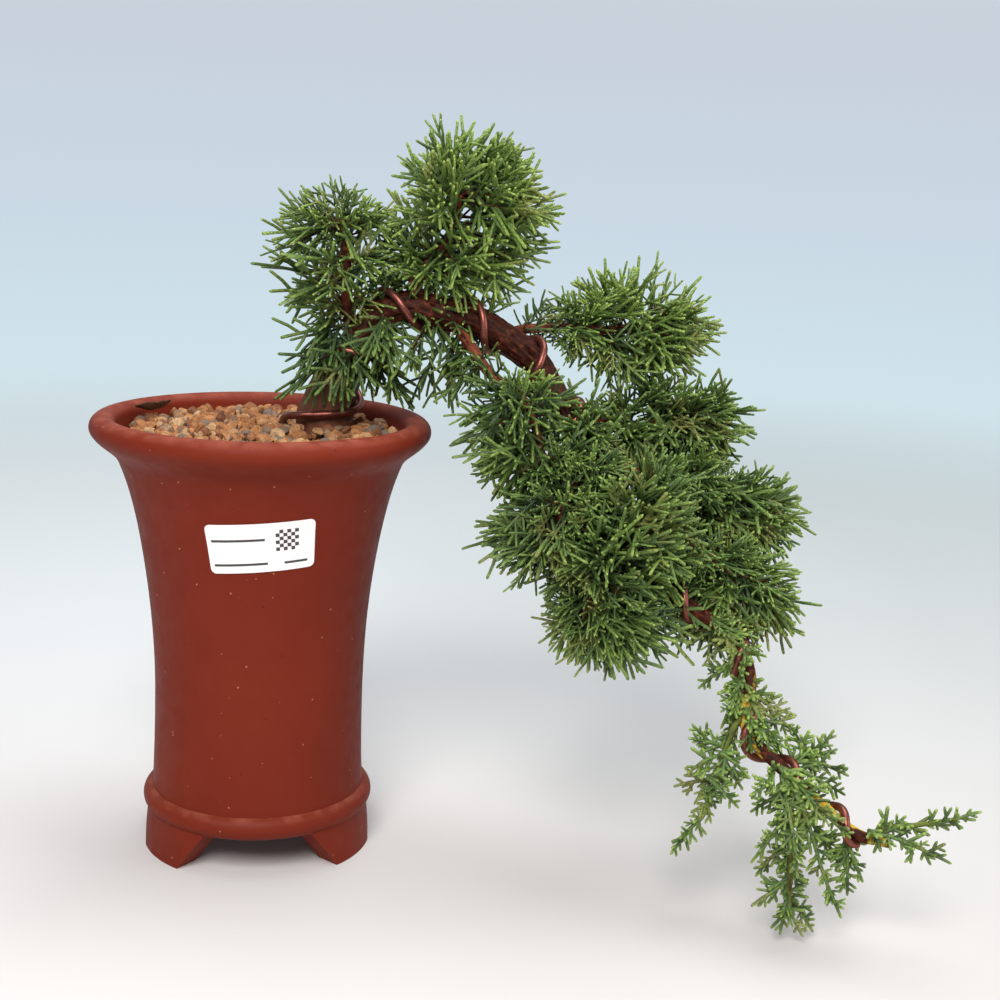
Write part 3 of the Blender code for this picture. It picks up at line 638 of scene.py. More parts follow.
def rough_stone(number):
    """One stone about a unit across: a ball pushed in and out, then chopped by a few planes."""
    body = bmesh.new()
    bmesh.ops.create_icosphere(body, subdivisions=2, radius=0.5)
    for vert in body.verts:
        vert.co *= 1 + 0.45 * noise.noise(vert.co * 2.4 + Vector((number * 9.1, 0, 0)))
    for chop in range(3):
        away = Vector((draw.gauss(0, 1), draw.gauss(0, 1), draw.gauss(0, 1))).normalized()
        cut = bmesh.ops.bisect_plane(body, geom=body.verts[:] + body.edges[:] + body.faces[:],
                                     plane_co=away * 0.38, plane_no=away, clear_outer=True)
        rim = [item for item in cut["geom_cut"] if isinstance(item, bmesh.types.BMEdge)]
        bmesh.ops.holes_fill(body, edges=rim, sides=0)
    bmesh.ops.scale(body, verts=body.verts,
                    vec=(1.0, draw.uniform(0.72, 0.95), draw.uniform(0.6, 0.85)))
    bmesh.ops.recalc_face_normals(body, faces=body.faces)
    mesh = mesh_from("stone", body)
    mesh.attributes.new("tint", "FLOAT", "POINT")
    return mesh


stones = [rough_stone(number) for number in range(GRAIN_SHAPES)]
print("stones:", [len(stone.polygons) for stone in stones], "faces")


# %% Scatter helper
def copy_into(body, template, matrix, **values):
    """Add a moved copy of a mesh to a bmesh, with one value per named attribute."""
    copy = template.copy()
    copy.transform(matrix)
    for name, value in values.items():
        layer = copy.attributes[name]
        layer.data.foreach_set("value", np.full(len(copy.vertices), value, np.float32))
    body.from_mesh(copy)
    bpy.data.meshes.remove(copy)


# %% Grit
GRAIN_SIZES = (2.6 * MM, 3.7 * MM, 4.7 * MM, 6.0 * MM)
GRAIN_COUNT = 1350
HOLLOW_PLACE = Vector((17 * MM, -11 * MM, 0)) + pot_axis
HOLLOW_RADIUS = 9 * MM
HOLLOW_DEPTH = 6 * MM
TRUNK_KEEP_OUT = 9.5 * MM
BIG_STONE_PLACE = Vector((42 * MM, -3 * MM, gravel_top + 0.5 * MM))
grit_body = bmesh.new()
grit_body.verts.layers.float.new("tint")
placed = []
inner_edge = flare(gravel_top) - WALL - LIP_INWARD * 0.5
for number in range(GRAIN_COUNT):
    sizes_here = GRAIN_SIZES[:2] if number > GRAIN_COUNT / 2 else GRAIN_SIZES
    size = draw.choice(sizes_here) * draw.uniform(0.85, 1.15)
    for attempt in range(30):
        reach = (inner_edge - size * 0.55) * math.sqrt(draw.random())
        bearing = draw.uniform(0, math.tau)
        spot = pot_axis + Vector((reach * math.cos(bearing), reach * math.sin(bearing), 0))
        if ((spot - collar).xy.length < TRUNK_KEEP_OUT
                or (spot - HOLLOW_PLACE).length < HOLLOW_RADIUS * 0.75):
            continue
        near = [other for other, other_size in placed
                if (other - spot).xy.length < (size + other_size) * 0.34]
        if len(near) < 3:
            break
    else:
        continue
    dip = HOLLOW_DEPTH * math.exp(-((spot - HOLLOW_PLACE).xy.length / HOLLOW_RADIUS) ** 2)
    rise = 0.8 * MM * noise.noise(spot * 60) - dip
    layer = len(near) * size * 0.30
    spot.z = gravel_top - 4.6 * MM + size * 0.45 + rise + layer
    spot.z = min(spot.z, gravel_top + 1.3 * MM + rise - size * 0.3)
    placed.append((Vector((spot.x, spot.y, 0)), size))
    turn = Matrix.Rotation(draw.uniform(0, math.tau), 4, Vector((draw.gauss(0, 1), draw.gauss(0, 1),
                                                                draw.gauss(0, 1))).normalized())
    copy_into(grit_body, draw.choice(stones), Matrix.Translation(spot) @ turn @ Matrix.Scale(size, 4),
              tint=draw.random())
big_stone = pot_axis + BIG_STONE_PLACE
copy_into(grit_body, stones[2], Matrix.Translation(big_stone) @ Matrix.Rotation(0.6, 4, "Z")
          @ Matrix.Diagonal((9 * MM, 6 * MM, 6 * MM, 1)), tint=0.97)

grit_finish, tree, shader, place = new_finish("grit", 0.9)
tint = add_node(tree, "Attribute", attribute_name="tint")
stone_colour = ramp(tree, tint.outputs["Fac"], (0.0, (0.17, 0.060, 0.026)), (0.25, (0.38, 0.155, 0.055)),
                    (0.55, (0.50, 0.215, 0.075)), (0.74, (0.54, 0.33, 0.165)),
                    (0.86, (0.25, 0.155, 0.10)),
                    (0.94, (0.18, 0.155, 0.13)), (1.0, (0.17, 0.12, 0.08)))
pores = grain_of(tree, place, 900, 5, 0.7)
stone_colour = blend_colours(tree, shape_value(tree, pores, 0.32, 0.62, 0.6, 0.0), stone_colour,
                             (0.08, 0.030, 0.013))
link(tree, stone_colour, shader.inputs["Base Color"])
raise_surface(tree, shader, pores, 0.35 * MM, 0.7)
add_piece("grit", grit_body, grit_finish, (), 35)

# %% [markdown]
# A paper sticker with round corners is stuck on the front of the pot, a little askew. It is
# a flat sheet cut to shape and then wrapped: every point's distance across becomes an angle
# round the pot and its height picks the pot's radius there, so it follows the flare exactly.
# The print on it is only a pattern: three plain rules and a small checked square. These are
# tiny inked sheets wrapped by the same function, a hair in front of the paper.

# %% Label
LABEL_SIZE = (38.5 * MM, 18.6 * MM)
LABEL_THICKNESS = 0.22 * MM
LABEL_CORNER = 2.0 * MM
LABEL_CENTRE_HEIGHT = 129.0 * MM
LABEL_TILT = Matrix.Rotation(math.radians(4.6), 3, "Z")


def wrap_on_pot(body):
    """Bend a flat sheet, lying in X and Y about its middle, on to the front of the pot."""
    for vert in body.verts:
        along, up, proud = LABEL_TILT @ vert.co
        angle = along / flare(LABEL_CENTRE_HEIGHT) - math.pi / 2
        radius = flare(LABEL_CENTRE_HEIGHT + up) + GAP + proud
        vert.co = pot_axis + Vector((radius * math.cos(angle), radius * math.sin(angle),
                                     LABEL_CENTRE_HEIGHT + up))


def slice_sheet(body, columns, rows, size):
    """Cut a flat sheet into strips both ways, so that it can bend."""
    for count, axis in ((columns, Vector((1, 0, 0))), (rows, Vector((0, 1, 0)))):
        span = size[0] if axis.x else size[1]
        for number in range(1, count):
            bmesh.ops.bisect_plane(body, geom=body.verts[:] + body.edges[:] + body.faces[:],
                                   plane_co=axis * (number / count - 0.5) * span, plane_no=axis)


def thicken(body, thickness):
    """Give a flat sheet a back, a front and an edge."""
    raised = bmesh.ops.extrude_face_region(body, geom=body.faces[:])
    front = [item for item in raised["geom"] if isinstance(item, bmesh.types.BMVert)]
    bmesh.ops.translate(body, verts=front, vec=(0, 0, thickness))


label_body = bmesh.new()
bmesh.ops.create_grid(label_body, x_segments=1, y_segments=1, size=0.5)
bmesh.ops.scale(label_body, verts=label_body.verts, vec=(*LABEL_SIZE, 1))
bmesh.ops.bevel(label_body, geom=label_body.verts[:], offset=LABEL_CORNER, segments=6, profile=0.5,
                affect="VERTICES", material=-1)
slice_sheet(label_body, 28, 8, LABEL_SIZE)
thicken(label_body, LABEL_THICKNESS)
wrap_on_pot(label_body)
paper, tree, shader, place = new_finish("paper", 0.45)
fibres = grain_of(tree, place, 700, 4, 0.6)
link(tree, ramp(tree, fibres, (0.3, (0.87, 0.80, 0.78)), (0.7, (0.94, 0.88, 0.86))),
     shader.inputs["Base Color"])
raise_surface(tree, shader, fibres, 0.03 * MM, 0.3)
add_piece("paper_label", label_body, paper, ["label"], 40)

# %% Print on the label
CHECK_CELL = 1.35 * MM
print_body = bmesh.new()


def inked_sheet(left, bottom, width, height):
    """A thin inked rectangle on the label; measures in metres from the label's middle."""
    sheet = bmesh.new()
    bmesh.ops.create_grid(sheet, x_segments=1, y_segments=1, size=0.5)
    bmesh.ops.scale(sheet, verts=sheet.verts, vec=(width, height, 1))
    slice_sheet(sheet, max(1, round(width / (1.5 * MM))), 1, (width, height))
    bmesh.ops.translate(sheet, verts=sheet.verts,
                        vec=(left + width / 2, bottom + height / 2, LABEL_THICKNESS + 0.02 * MM))
    thicken(sheet, 0.03 * MM)
    wrap_on_pot(sheet)
    mesh = mesh_from("ink", sheet)
    print_body.from_mesh(mesh)
    bpy.data.meshes.remove(mesh)


for left, bottom, width in ((-17.5, 2.6, 19.0), (-17.5, -6.6, 19.5), (8.0, -6.8, 8.5)):
    inked_sheet(left * MM, bottom * MM, width * MM, 0.9 * MM)
for row in range(6):
    for column in range(6):
        if (row + column) % 2 == 0:
            inked_sheet(5.2 * MM + column * CHECK_CELL, -1.6 * MM + row * CHECK_CELL,
                        CHECK_CELL, CHECK_CELL)
ink, tree, shader, place = new_finish("ink", 0.5)
link(tree, ramp(tree, grain_of(tree, place, 900, 2), (0.3, (0.025, 0.025, 0.03)),
                (0.7, (0.06, 0.06, 0.065))), shader.inputs["Base Color"])
add_piece("label_print", print_body, ink, (), 40)

# %% [markdown]
# A dead leaf lies on the grit against the back of the rim, dry and curled like a shell. It is
# a small grid pinched to a point at both ends, bent along its rib and across it, crumpled by
# a noise and then thickened by a plain extrusion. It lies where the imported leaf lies.

# %% Dry leaf
leaf_low, leaf_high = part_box("dry_leaf")
leaf_middle = (leaf_low + leaf_high) / 2
LEAF_LENGTH = 17.0 * MM
LEAF_WIDTH = 10.0 * MM
leaf_body = bmesh.new()
bmesh.ops.create_grid(leaf_body, x_segments=26, y_segments=12, size=0.5)
for vert in leaf_body.verts:
    along, across = vert.co.x * 2, vert.co.y * 2
    width = max(0.03, (1 - along ** 2)) ** 0.7
    ripple = noise.noise(Vector((along * 2.3, across * 1.9, 4.0)))
    vert.co = Vector((along * LEAF_LENGTH / 2, across * width * LEAF_WIDTH / 2 * (1 + 0.2 * ripple),
                      2.4 * MM * along ** 2 + 2.2 * MM * (abs(across) * width) ** 1.5 - 1.4 * MM
                      + 0.7 * MM * ripple + 0.25 * MM * math.exp(-(across / 0.10) ** 2)))
thicken(leaf_body, 0.28 * MM)
leaf_turn = Matrix.Rotation(math.radians(223), 3, "Z") @ Matrix.Rotation(math.radians(20), 3, "X")
bmesh.ops.rotate(leaf_body, verts=leaf_body.verts, cent=(0, 0, 0), matrix=leaf_turn)
bmesh.ops.translate(leaf_body, verts=leaf_body.verts, vec=leaf_middle)
dead_leaf, tree, shader, place = new_finish("dead_leaf", 0.75)
veins = grain_of(tree, place, 500, 4, 0.7)
link(tree, ramp(tree, veins, (0.3, (0.035, 0.016, 0.010)), (0.55, (0.13, 0.055, 0.028)),
                (0.75, (0.26, 0.12, 0.06))), shader.inputs["Base Color"])
raise_surface(tree, shader, veins, 0.25 * MM, 0.6)
add_piece("curled_leaf", leaf_body, dead_leaf, ["dry_leaf"], 60)

# %% [markdown]
# The trunk is as thick as a thumb where it leaves the grit and tapers all the way to its
# tail. Its route is a list of points, the same one that the imported trunk follows,
# smoothed by a curve through them. Old juniper bark is thin and papery and splits into long
# strips, so the tube is grown in short steps with many sides, and each ring is pushed out and
# in by a noise that is stretched along the stem. The height of that relief is kept on the
# mesh, so that the colour can be orange on the flakes and dark in the cracks, where the dark
# is painted shade in the recesses.

# %% Routes
# Everything here is measured from the collar, where the trunk leaves the grit.
# Each row of a route is x, y, z and radius in millimetres
TRUNK_ROUTE = (
    (-2, 0, -26, 11.5), (-1, 0, -8, 11.5), (0, 0, 0, 11), (0, 0, 4, 10.7), (3, 0, 14, 9.5),
    (7, -1, 24, 8.1), (13, -3, 33, 7.1), (18, -4, 41, 6.7), (25, -6, 46, 6.4),
    (35, -8, 47, 6.1), (45, -10, 45, 5.9), (56, -13, 43, 5.8), (67, -16, 37, 5.6),
    (77, -19, 30, 5.4), (83, -22, 22, 5.1), (88, -27, 14, 4.8), (96, -33, 1, 4.5),
    (105, -38, -11, 4.2), (111, -44, -24, 3.9), (117, -50, -37, 3.6), (125, -56, -49, 3.4),
    (137, -62, -58, 3.2), (148, -67, -64, 3.0), (152, -73, -71, 2.9), (153, -79, -79, 2.7),
    (151, -84, -86, 2.5), (150, -90, -93, 2.4), (153, -95, -98, 2.4), (158, -100, -102, 2.3),
    (170, -110, -112, 2.1), (182, -119, -121, 1.9), (191, -128, -121, 1.7),
)
BRANCH_ROUTES = {
    "branch_left": ((12, -2, 38, 2.6), (8, -1, 43, 2.5), (7, -3, 51, 2.2), (7, -4, 60, 1.9),
                    (6, -6, 70, 1.5), (4, -8, 79, 1.2)),
    "branch_apex": ((34, -8, 49, 3.0), (33, -7, 57, 2.8), (38, -4, 64, 2.5),
                    (44, -4, 71, 2.1), (47, -5, 79, 1.7), (49, -6, 90, 1.2)),
    "branch_right": ((66, -14, 38, 2.0), (76, -7, 40, 1.9), (89, 0, 40, 1.8),
                     (100, 4, 40, 1.7), (113, 8, 39, 1.5), (128, 12, 42, 1.2)),
    "branch_lower_left": ((46, -12, 43, 2.2), (52, -22, 36, 2.1), (59, -29, 26, 2.0),
                          (66, -36, 21, 1.9), (71, -41, 17, 1.8), (75, -44, 8, 1.5),
                          (79, -49, -6, 1.2)),
    "branch_back": ((92, -29, 8, 2.2), (99, -19, 7, 2.0), (111, -5, 4, 1.8),
                    (124, 2, 1, 1.6), (139, 0, 6, 1.2)),
    "branch_outer": ((105, -38, -11, 2.2), (123, -32, -11, 2.0), (146, -22, -17, 1.7),
                     (166, -14, -28, 1.2)),
    "branch_outer_lower": ((109, -42, -19, 2.0), (122, -46, -25, 1.9), (146, -49, -42, 1.6),
                           (160, -43, -53, 1.2)),
    "branch_front": ((112, -45, -26, 1.9), (104, -57, -33, 1.8), (96, -66, -44, 1.5),
                     (93, -66, -56, 1.2)),
    "branch_front_left": ((104, -38, -10, 1.8), (92, -52, -8, 1.7), (84, -60, -18, 1.4),
                          (82, -58, -30, 1.2)),
    "twig_hanging_left": ((150, -86, -88, 1.3), (144, -91, -94, 1.2), (139, -95, -106, 1.0),
                          (134, -99, -122, 0.9)),
    "twig_hanging_centre": ((160, -102, -104, 1.3), (160, -110, -115, 1.2),
                            (161, -115, -132, 1.0), (161, -117, -148, 0.9)),
    "twig_upper": ((165, -106, -108, 1.3), (169, -101, -103, 1.1), (175, -97, -99, 0.9)),
    "twig_tip": ((187, -124, -121, 1.2), (193, -122, -118, 1.1), (201, -127, -115, 0.9),
                 (212, -132, -111, 0.8)),
}


# %% Bark helpers
def from_collar(rows, step):
    """Places and radii along a route given in millimetres from the collar."""
    route = smooth_route(rows, step)
    return [Vector(row[:3]) + collar for row in route], [float(row[3]) for row in route]


def grow_bark(body, rows, step, sides, relief, strips):
    """A tapering stem with bark: relief is its height in metres, strips how many go round."""
    height_layer, along_layer = (body.verts.layers.float.new(name) for name in ("relief", "along"))
    places, radii = from_collar(rows, step)
    frames, rings = grow_tube(body, places, radii, sides)
    walked = 0.0
    seed = Vector(rows[0][:3])
    for number, (frame_here, ring, radius) in enumerate(zip(frames, rings, radii)):
        walked += (places[number] - places[max(number - 1, 0)]).length
        back = frame_here.inverted()
        for vert in ring:
            local = back @ vert.co
            around = Vector((local.x, local.y, 0)).normalized()
            spot = Vector((around.x * strips, around.y * strips, walked / MM * 0.11)) + seed
            ridge = 1 - 2 * abs(noise.noise(spot))
            flake = noise.noise(spot * 2.3 + Vector((5, 3, 1)))
            lump = noise.noise(Vector((around.x, around.y, walked / MM * 0.07)) + seed)
            value = 0.6 * ridge + 0.4 * flake
            push = relief * min(1.0, radius / (5 * MM)) * (value - 0.35) + 0.07 * radius * lump
            vert.co += frame_here.to_3x3() @ (around * push)
            vert[height_layer] = value
            vert[along_layer] = walked
    return places


# %% Bark finishes
FOOT_BELOW = 52 * MM
FOOT_ABOVE = 78 * MM
BARE_FROM = 265 * MM
BARE_FULL = 300 * MM


def bark_finish(name, dark_bark_and_crack_shade, skin, flakes, roughness, patch_colour=None):
    """Bark coloured by its relief; patch_colour is where bare wood starts, is full, its colour."""
    finish, tree, shader, place = new_finish(name, roughness)
    shader.inputs["Specular IOR Level"].default_value = 0.12
    relief = add_node(tree, "Attribute", attribute_name="relief").outputs["Fac"]
    fine = grain_of(tree, place, 420, 5, 0.65)
    broad = grain_of(tree, place, 75, 3, 0.5)
    # Low in the relief the colour runs to the dark one, painted shade in the cracks; the two noises
    # below spread the same dark as patches of darker bark.
    colour = ramp(tree, relief, (0.0, dark_bark_and_crack_shade), (0.35, skin), (0.65, skin), (0.88, flakes))
    colour = blend_colours(tree, shape_value(tree, fine, 0.52, 0.68, 0.0, 0.75), colour, flakes)
    colour = blend_colours(tree, shape_value(tree, fine, 0.30, 0.44, 0.7, 0.0), colour, dark_bark_and_crack_shade)
    colour = blend_colours(tree, shape_value(tree, broad, 0.42, 0.62, 0.0, 0.45), colour, dark_bark_and_crack_shade)
    if patch_colour:
        along = add_node(tree, "Attribute", attribute_name="along").outputs["Fac"]
        near_tail = shape_value(tree, along, patch_colour[0], patch_colour[1])
        bare = multiply(tree, near_tail, shape_value(tree, broad, 0.515, 0.565))
        colour = blend_colours(tree, bare, colour, patch_colour[2])
        # Near the ground the trunk is painted lighter: painted light on its foot, where the foliage
        # casts shade.
        foot = shape_value(tree, along, FOOT_BELOW, FOOT_ABOVE, 0.75, 0.0)
        colour = blend_colours(tree, foot, colour, (0.20, 0.078, 0.045))
    link(tree, colour, shader.inputs["Base Color"])
    raise_surface(tree, shader, fine, 0.35 * MM, 0.7)
    return finish


trunk_bark = bark_finish("trunk_bark", (0.012, 0.0035, 0.002), (0.050, 0.010, 0.005),
                         (0.19, 0.042, 0.014), 0.6, (BARE_FROM, BARE_FULL, (0.50, 0.32, 0.035)))
branch_bark = bark_finish("branch_bark", (0.035, 0.009, 0.005), (0.17, 0.042, 0.020),
                          (0.34, 0.115, 0.045), 0.65)
green_bark = bark_finish("green_bark", (0.060, 0.040, 0.012), (0.115, 0.150, 0.030),
                         (0.22, 0.25, 0.050), 0.55)

# %% Trunk and branches
trunk_body = bmesh.new()
trunk_places = grow_bark(trunk_body, TRUNK_ROUTE, 1.2 * MM, 56, 1.0 * MM, 5.0)
add_piece("trunk_bark", trunk_body, trunk_bark, ["trunk"], 70)
branch_paths = {}
for name, rows in BRANCH_ROUTES.items():
    branch_body = bmesh.new()
    branch_paths[name] = grow_bark(branch_body, rows, 1.0 * MM, 14, 0.7 * MM, 2.2)
    skin = green_bark if name.startswith("twig") else branch_bark
    add_piece(name + "_bark", branch_body, skin, [name], 70)

# %% [markdown]
# The training wire is soft aluminium, anodised brown like old copper, three millimetres
# thick. It starts in the soil beside the trunk, crosses in front of its foot, and then winds
# round it in one direction, close to the bark, with a turn about every three centimetres. A
# screw modifier would give an even spring, but this coil climbs a trunk that bends and tapers.
# So each turn is measured off along the trunk, and the wire's middle is the bark's radius plus
# its own away from the trunk's middle.

# %% Wire
WIRE_CROSSINGS = (32, 60, 86, 117, 143, 169, 197, 222, 249, 277, 307, 334, 356)
WIRE_END = 361
WIRE_ANCHOR = ((-17, 10, -24), (-17, 8, -12), (-16.5, 4, -1), (-15, -4, 3.5), (-10.5, -11, 5.2))
WIRE_RADIUS = 1.5 * MM
WIRE_HUG = 0.25 * MM
POINTS_PER_TURN = 16


def wire_rows():
    """The listed start of the wire, then points wound round the trunk, in millimetres."""
    trunk = smooth_route(TRUNK_ROUTE, 2 * MM)
    steps = np.linalg.norm(np.diff(trunk[:, :3], axis=0), axis=1)
    distance = np.concatenate([[0], np.cumsum(steps)])
    turns = np.append(np.arange(len(WIRE_CROSSINGS)), len(WIRE_CROSSINGS) - 0.7)
    crossings = np.append(WIRE_CROSSINGS, WIRE_END) * MM
    rows = [tuple(row) for row in WIRE_ANCHOR]
    count = round(turns[-1] * POINTS_PER_TURN)
    for number in range(count + 1):
        turn = number / count * turns[-1]
        along = np.interp(turn, turns, crossings)
        middle, ahead, behind = (Vector([np.interp(along + shift, distance, trunk[:, axis])
                                         for axis in range(3)]) for shift in (0, 4 * MM, -4 * MM))
        heading = (ahead - behind).normalized()
        front = Vector((0, -1, 0))
        front = (front - front.dot(heading) * heading).normalized()
        side = heading.cross(front)
        bark = float(np.interp(along, distance, trunk[:, 3]))
        reach = (bark + WIRE_RADIUS + WIRE_HUG) / math.cos(math.pi / POINTS_PER_TURN)
        angle = math.tau * turn
        rows.append(tuple((middle + reach * (math.cos(angle) * front + math.sin(angle) * side)) / MM))
    return rows


wire_body = bmesh.new()
wire_places = [Vector(place) + collar for place in smooth_route(wire_rows(), 1.0 * MM)]
grow_tube(wire_body, wire_places, [WIRE_RADIUS] * len(wire_places), 16)
ends = [edge for edge in wire_body.edges if len(edge.link_faces) == 2
        and edge.calc_face_angle(0) > math.radians(50)]
bmesh.ops.bevel(wire_body, geom=ends, offset=0.3 * MM, offset_type="OFFSET", segments=2, profile=0.5,
                affect="EDGES", material=-1)
copper, tree, shader, place = new_finish("copper_wire", 0.34, 0.85)
handled = grain_of(tree, place, 260, 4, 0.6)
streaks = grain_of(tree, place, 60, 2, 0.5)
wire_colour = ramp(tree, handled, (0.3, (0.17, 0.048, 0.034)), (0.6, (0.26, 0.085, 0.062)),
                   (0.8, (0.38, 0.155, 0.115)))
wire_colour = blend_colours(tree, shape_value(tree, streaks, 0.45, 0.65, 0.0, 0.4), wire_colour,
                            (0.16, 0.05, 0.045))
link(tree, wire_colour, shader.inputs["Base Color"])
link(tree, shape_value(tree, handled, 0.3, 0.7, 0.28, 0.46), shader.inputs["Roughness"])
raise_surface(tree, shader, handled, 0.06 * MM, 0.35)
add_piece("wound_wire", wire_body, copper, ["training_wire"], 40)
wire_length = sum((b - a).length for a, b in zip(wire_places, wire_places[1:]))
print("wire length", round(wire_length, 3), "m")
# %% [markdown]
# The foliage is what makes this tree. Each shoot is a cord a little over a millimetre thick,
# covered in tiny overlapping scales, and it forks again and again towards its tip.
# Modelling scales would cost millions of faces, and leaf cards would look flat from the side.
# So a few forked sprigs are grown from five-sided tubes, and the scales are left to the bump
# and to a painted shade in the creases between them.
# Two kinds are needed: long loose sprigs for the pads, and short stout ones with stubby side
# shoots for the fresh tail. Each keeps two values on its points: how near the tip they are,
# for the bright young ends, and a tint of its own.

# %% Sprigs
SHOOT_SIDES = 5
LONG_SPRIG = (17 * MM, 1.2 * MM)
STOUT_SPRIG = (8 * MM, 1.8 * MM)
sprig_draw = random.Random(21)


def grow_shoot(body, start, heading, length, curl, segments, thickness, tip_from=0.0):
    """One cord from start that bends towards curl; its tip value runs from tip_from to 1."""
    tip_layer = body.verts.layers.float["tip"]
    places = []
    for number in range(segments + 1):
        share = number / segments
        places.append(start + heading * length * share + curl * length * share ** 2)
    shares = [number / segments for number in range(segments + 1)]
    radii = [thickness / 2 * (1.0 - 0.15 * share) for share in shares]
    end = (places[-1] - places[-2]).normalized()
    places.append(places[-1] + end * thickness * 0.45)
    radii.append(thickness * 0.2)
    rings = grow_tube(body, places, radii, SHOOT_SIDES)[1]
    for share, ring in zip(shares + [1.0], rings):
        for vert in ring:
            vert[tip_layer] = tip_from + (1 - tip_from) * share
    return places


def new_growth():
    """An empty bmesh with the two values that shoots keep."""
    body = bmesh.new()
    body.verts.layers.float.new("tip")
    body.verts.layers.float.new("tint")
    return body


def grow_sprig(kind, forks, spread, flat, bend, side_length):
    """A forked sprig along +X: forks side shoots, spread in radians, flat 0..1, bend its curl."""
    length, thickness = kind
    body = new_growth()
    grow_shoot(body, Vector((0, 0, 0)), Vector((1, 0, 0)), length, Vector((0, 0, bend)), 3, thickness)
    for number in range(forks):
        share = 0.14 + 0.70 * (number + sprig_draw.uniform(-0.25, 0.25)) / forks
        share = min(max(share, 0.06), 0.86)
        start = Vector((length * share, 0, bend * length * share ** 2))
        side = -1 if number % 2 else 1
        angle = spread * sprig_draw.uniform(0.75, 1.25)
        lift = sprig_draw.uniform(-1, 1) * (1 - flat)
        heading = Vector((math.cos(angle), side * math.sin(angle), lift * math.sin(angle))).normalized()
        reach = length * (side_length - 0.3 * share) * sprig_draw.uniform(0.7, 1.2)
        curl = Vector((0.12, -side * 0.08, bend * 0.6))
        grow_shoot(body, start, heading, reach, curl, 2, thickness * 0.92, 0.75 * share)
    bmesh.ops.recalc_face_normals(body, faces=body.faces)
    return mesh_from("sprig", body)


long_sprigs = [grow_sprig(LONG_SPRIG, forks, sprig_draw.uniform(0.62, 0.98), 0.3,
                          sprig_draw.uniform(-0.12, 0.34), 0.62)
               for forks in (1, 2, 2, 3, 3, 4, 4, 5, 5)]
stout_sprigs = [grow_sprig(STOUT_SPRIG, forks, sprig_draw.uniform(0.85, 1.1), 0.7,
                           sprig_draw.uniform(-0.05, 0.15), 0.58)
                for forks in (1, 2, 2, 3, 3)]
print("sprigs:", [len(sprig.polygons) for sprig in long_sprigs + stout_sprigs], "faces")

# %% [markdown]
# A pad of foliage is not a ball with sprigs stuck on it. Twigs leave the branch inside it and
# run outwards, and long sprigs grow along the outer part of every twig, fanning away from the
# branch and crossing each other. So each pad starts from the stretch of branch that lies in
# its space. Twigs are sent from there towards points spread over the pad's outside, only half
# of the way, and the sprigs do the rest. The evenness comes from a spiral round a sphere, and
# the raggedness from a noise and from a few twigs that are let out further than the others.

# %% Pads
# Each pad is its centre and radii in millimetres from the collar
FOLIAGE_PADS = {
    "foliage_left": ((2, -6, 66), (25, 22, 23)),
    "foliage_left_skirt": ((3, -22, 28), (21, 9, 17)),
    "foliage_apex": ((56, -6, 80), (33, 28, 33)),
    "foliage_under_arch": ((35, -12, 23), (17, 12, 15)),
    "foliage_right": ((123, 8, 39), (33, 22, 22)),
    "foliage_upper_left": ((74, -40, 4), (29, 22, 21)),
    "foliage_upper_right": ((138, -7, 2), (31, 25, 20)),
    "foliage_middle_left": ((84, -52, -31), (25, 23, 22)),
    "foliage_middle": ((109, -67, -31), (27, 18, 25)),
    "foliage_outer": ((163, -17, -34), (26, 25, 21)),
    "foliage_lower": ((109, -57, -60), (25, 22, 19)),
    "foliage_outer_lower": ((154, -47, -57), (25, 23, 19)),
    "spray_tail_knot": ((153, -75, -77), (14, 12, 14)),
    "spray_hanging_left": ((137, -97, -116), (16, 11, 20)),
    "spray_hanging_centre": ((163, -117, -135), (17, 12, 23)),
    "spray_upper": ((175, -97, -105), (12, 10, 13)),
    "spray_tip": ((200, -129, -116), (19, 9, 11)),
    "spray_underside": ((183, -117, -134), (7, 7, 11)),
}
# How each pad differs: droop pulls its sprigs down, fill is how many twigs, loose how far its
# sprigs turn away from their twig, young how bright; those not listed use the first row
PAD_HABITS = {
    "usual": (0.10, 1.05, 0.8, 0.36), "foliage_left": (0.0, 0.70, 0.8, 0.60),
    "foliage_left_skirt": (0.75, 0.50, 0.6, 0.25), "foliage_under_arch": (0.8, 0.60, 0.7, 0.20),
    "foliage_apex": (-0.05, 0.75, 0.75, 0.72), "foliage_right": (0.0, 0.85, 0.8, 0.78),
    "foliage_upper_left": (0.0, 1.0, 0.8, 0.35), "foliage_lower": (0.45, 1.1, 0.75, 0.50),
    "foliage_outer_lower": (0.4, 1.1, 0.75, 0.50),
}
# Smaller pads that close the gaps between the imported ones, grown with the one they are listed by
INFILL_PADS = {
    "foliage_middle": (((92, -52, -8), (17, 10, 11)), ((116, -50, -9), (19, 11, 11))),
    "foliage_outer": (((140, -35, -15), (17, 12, 11)), ((142, -52, -42), (17, 12, 14))),
    "foliage_lower": (((97, -64, -54), (14, 11, 11)),),
}
AREA_PER_TWIG = 205.0
pad_draw = random.Random(5)


def grow_twig():
    """A thin twig along +X, one unit long, with a slight bend, to stretch between two points."""
    body = new_growth()
    places = [Vector((share, 0, 0.10 * math.sin(math.pi * share))) for share in (0, 0.33, 0.66, 1)]
    grow_tube(body, places, [0.045, 0.04, 0.033, 0.028], 5)
    bmesh.ops.recalc_face_normals(body, faces=body.faces)
    return mesh_from("twig", body)


twig_mesh = grow_twig()


def spiral_directions(count):
    """Directions spread evenly over a sphere."""
    golden = math.pi * (3 - math.sqrt(5))
    found = []
    for number in range(count):
        z = 1 - 2 * (number + 0.5) / count
        flat = math.sqrt(1 - z * z)
        found.append(Vector((flat * math.cos(golden * number), flat * math.sin(golden * number), z)))
    return found


def some_turn(amount):
    """A small random vector."""
    return Vector([pad_draw.gauss(0, amount) for axis in range(3)])


def room_inside(place, middle, size):
    """How far out a place lies in a pad: 0 in its middle, 1 on its outside."""
    return math.sqrt(sum(((p - m) / s) ** 2 for p, m, s in zip(place, middle, size)))


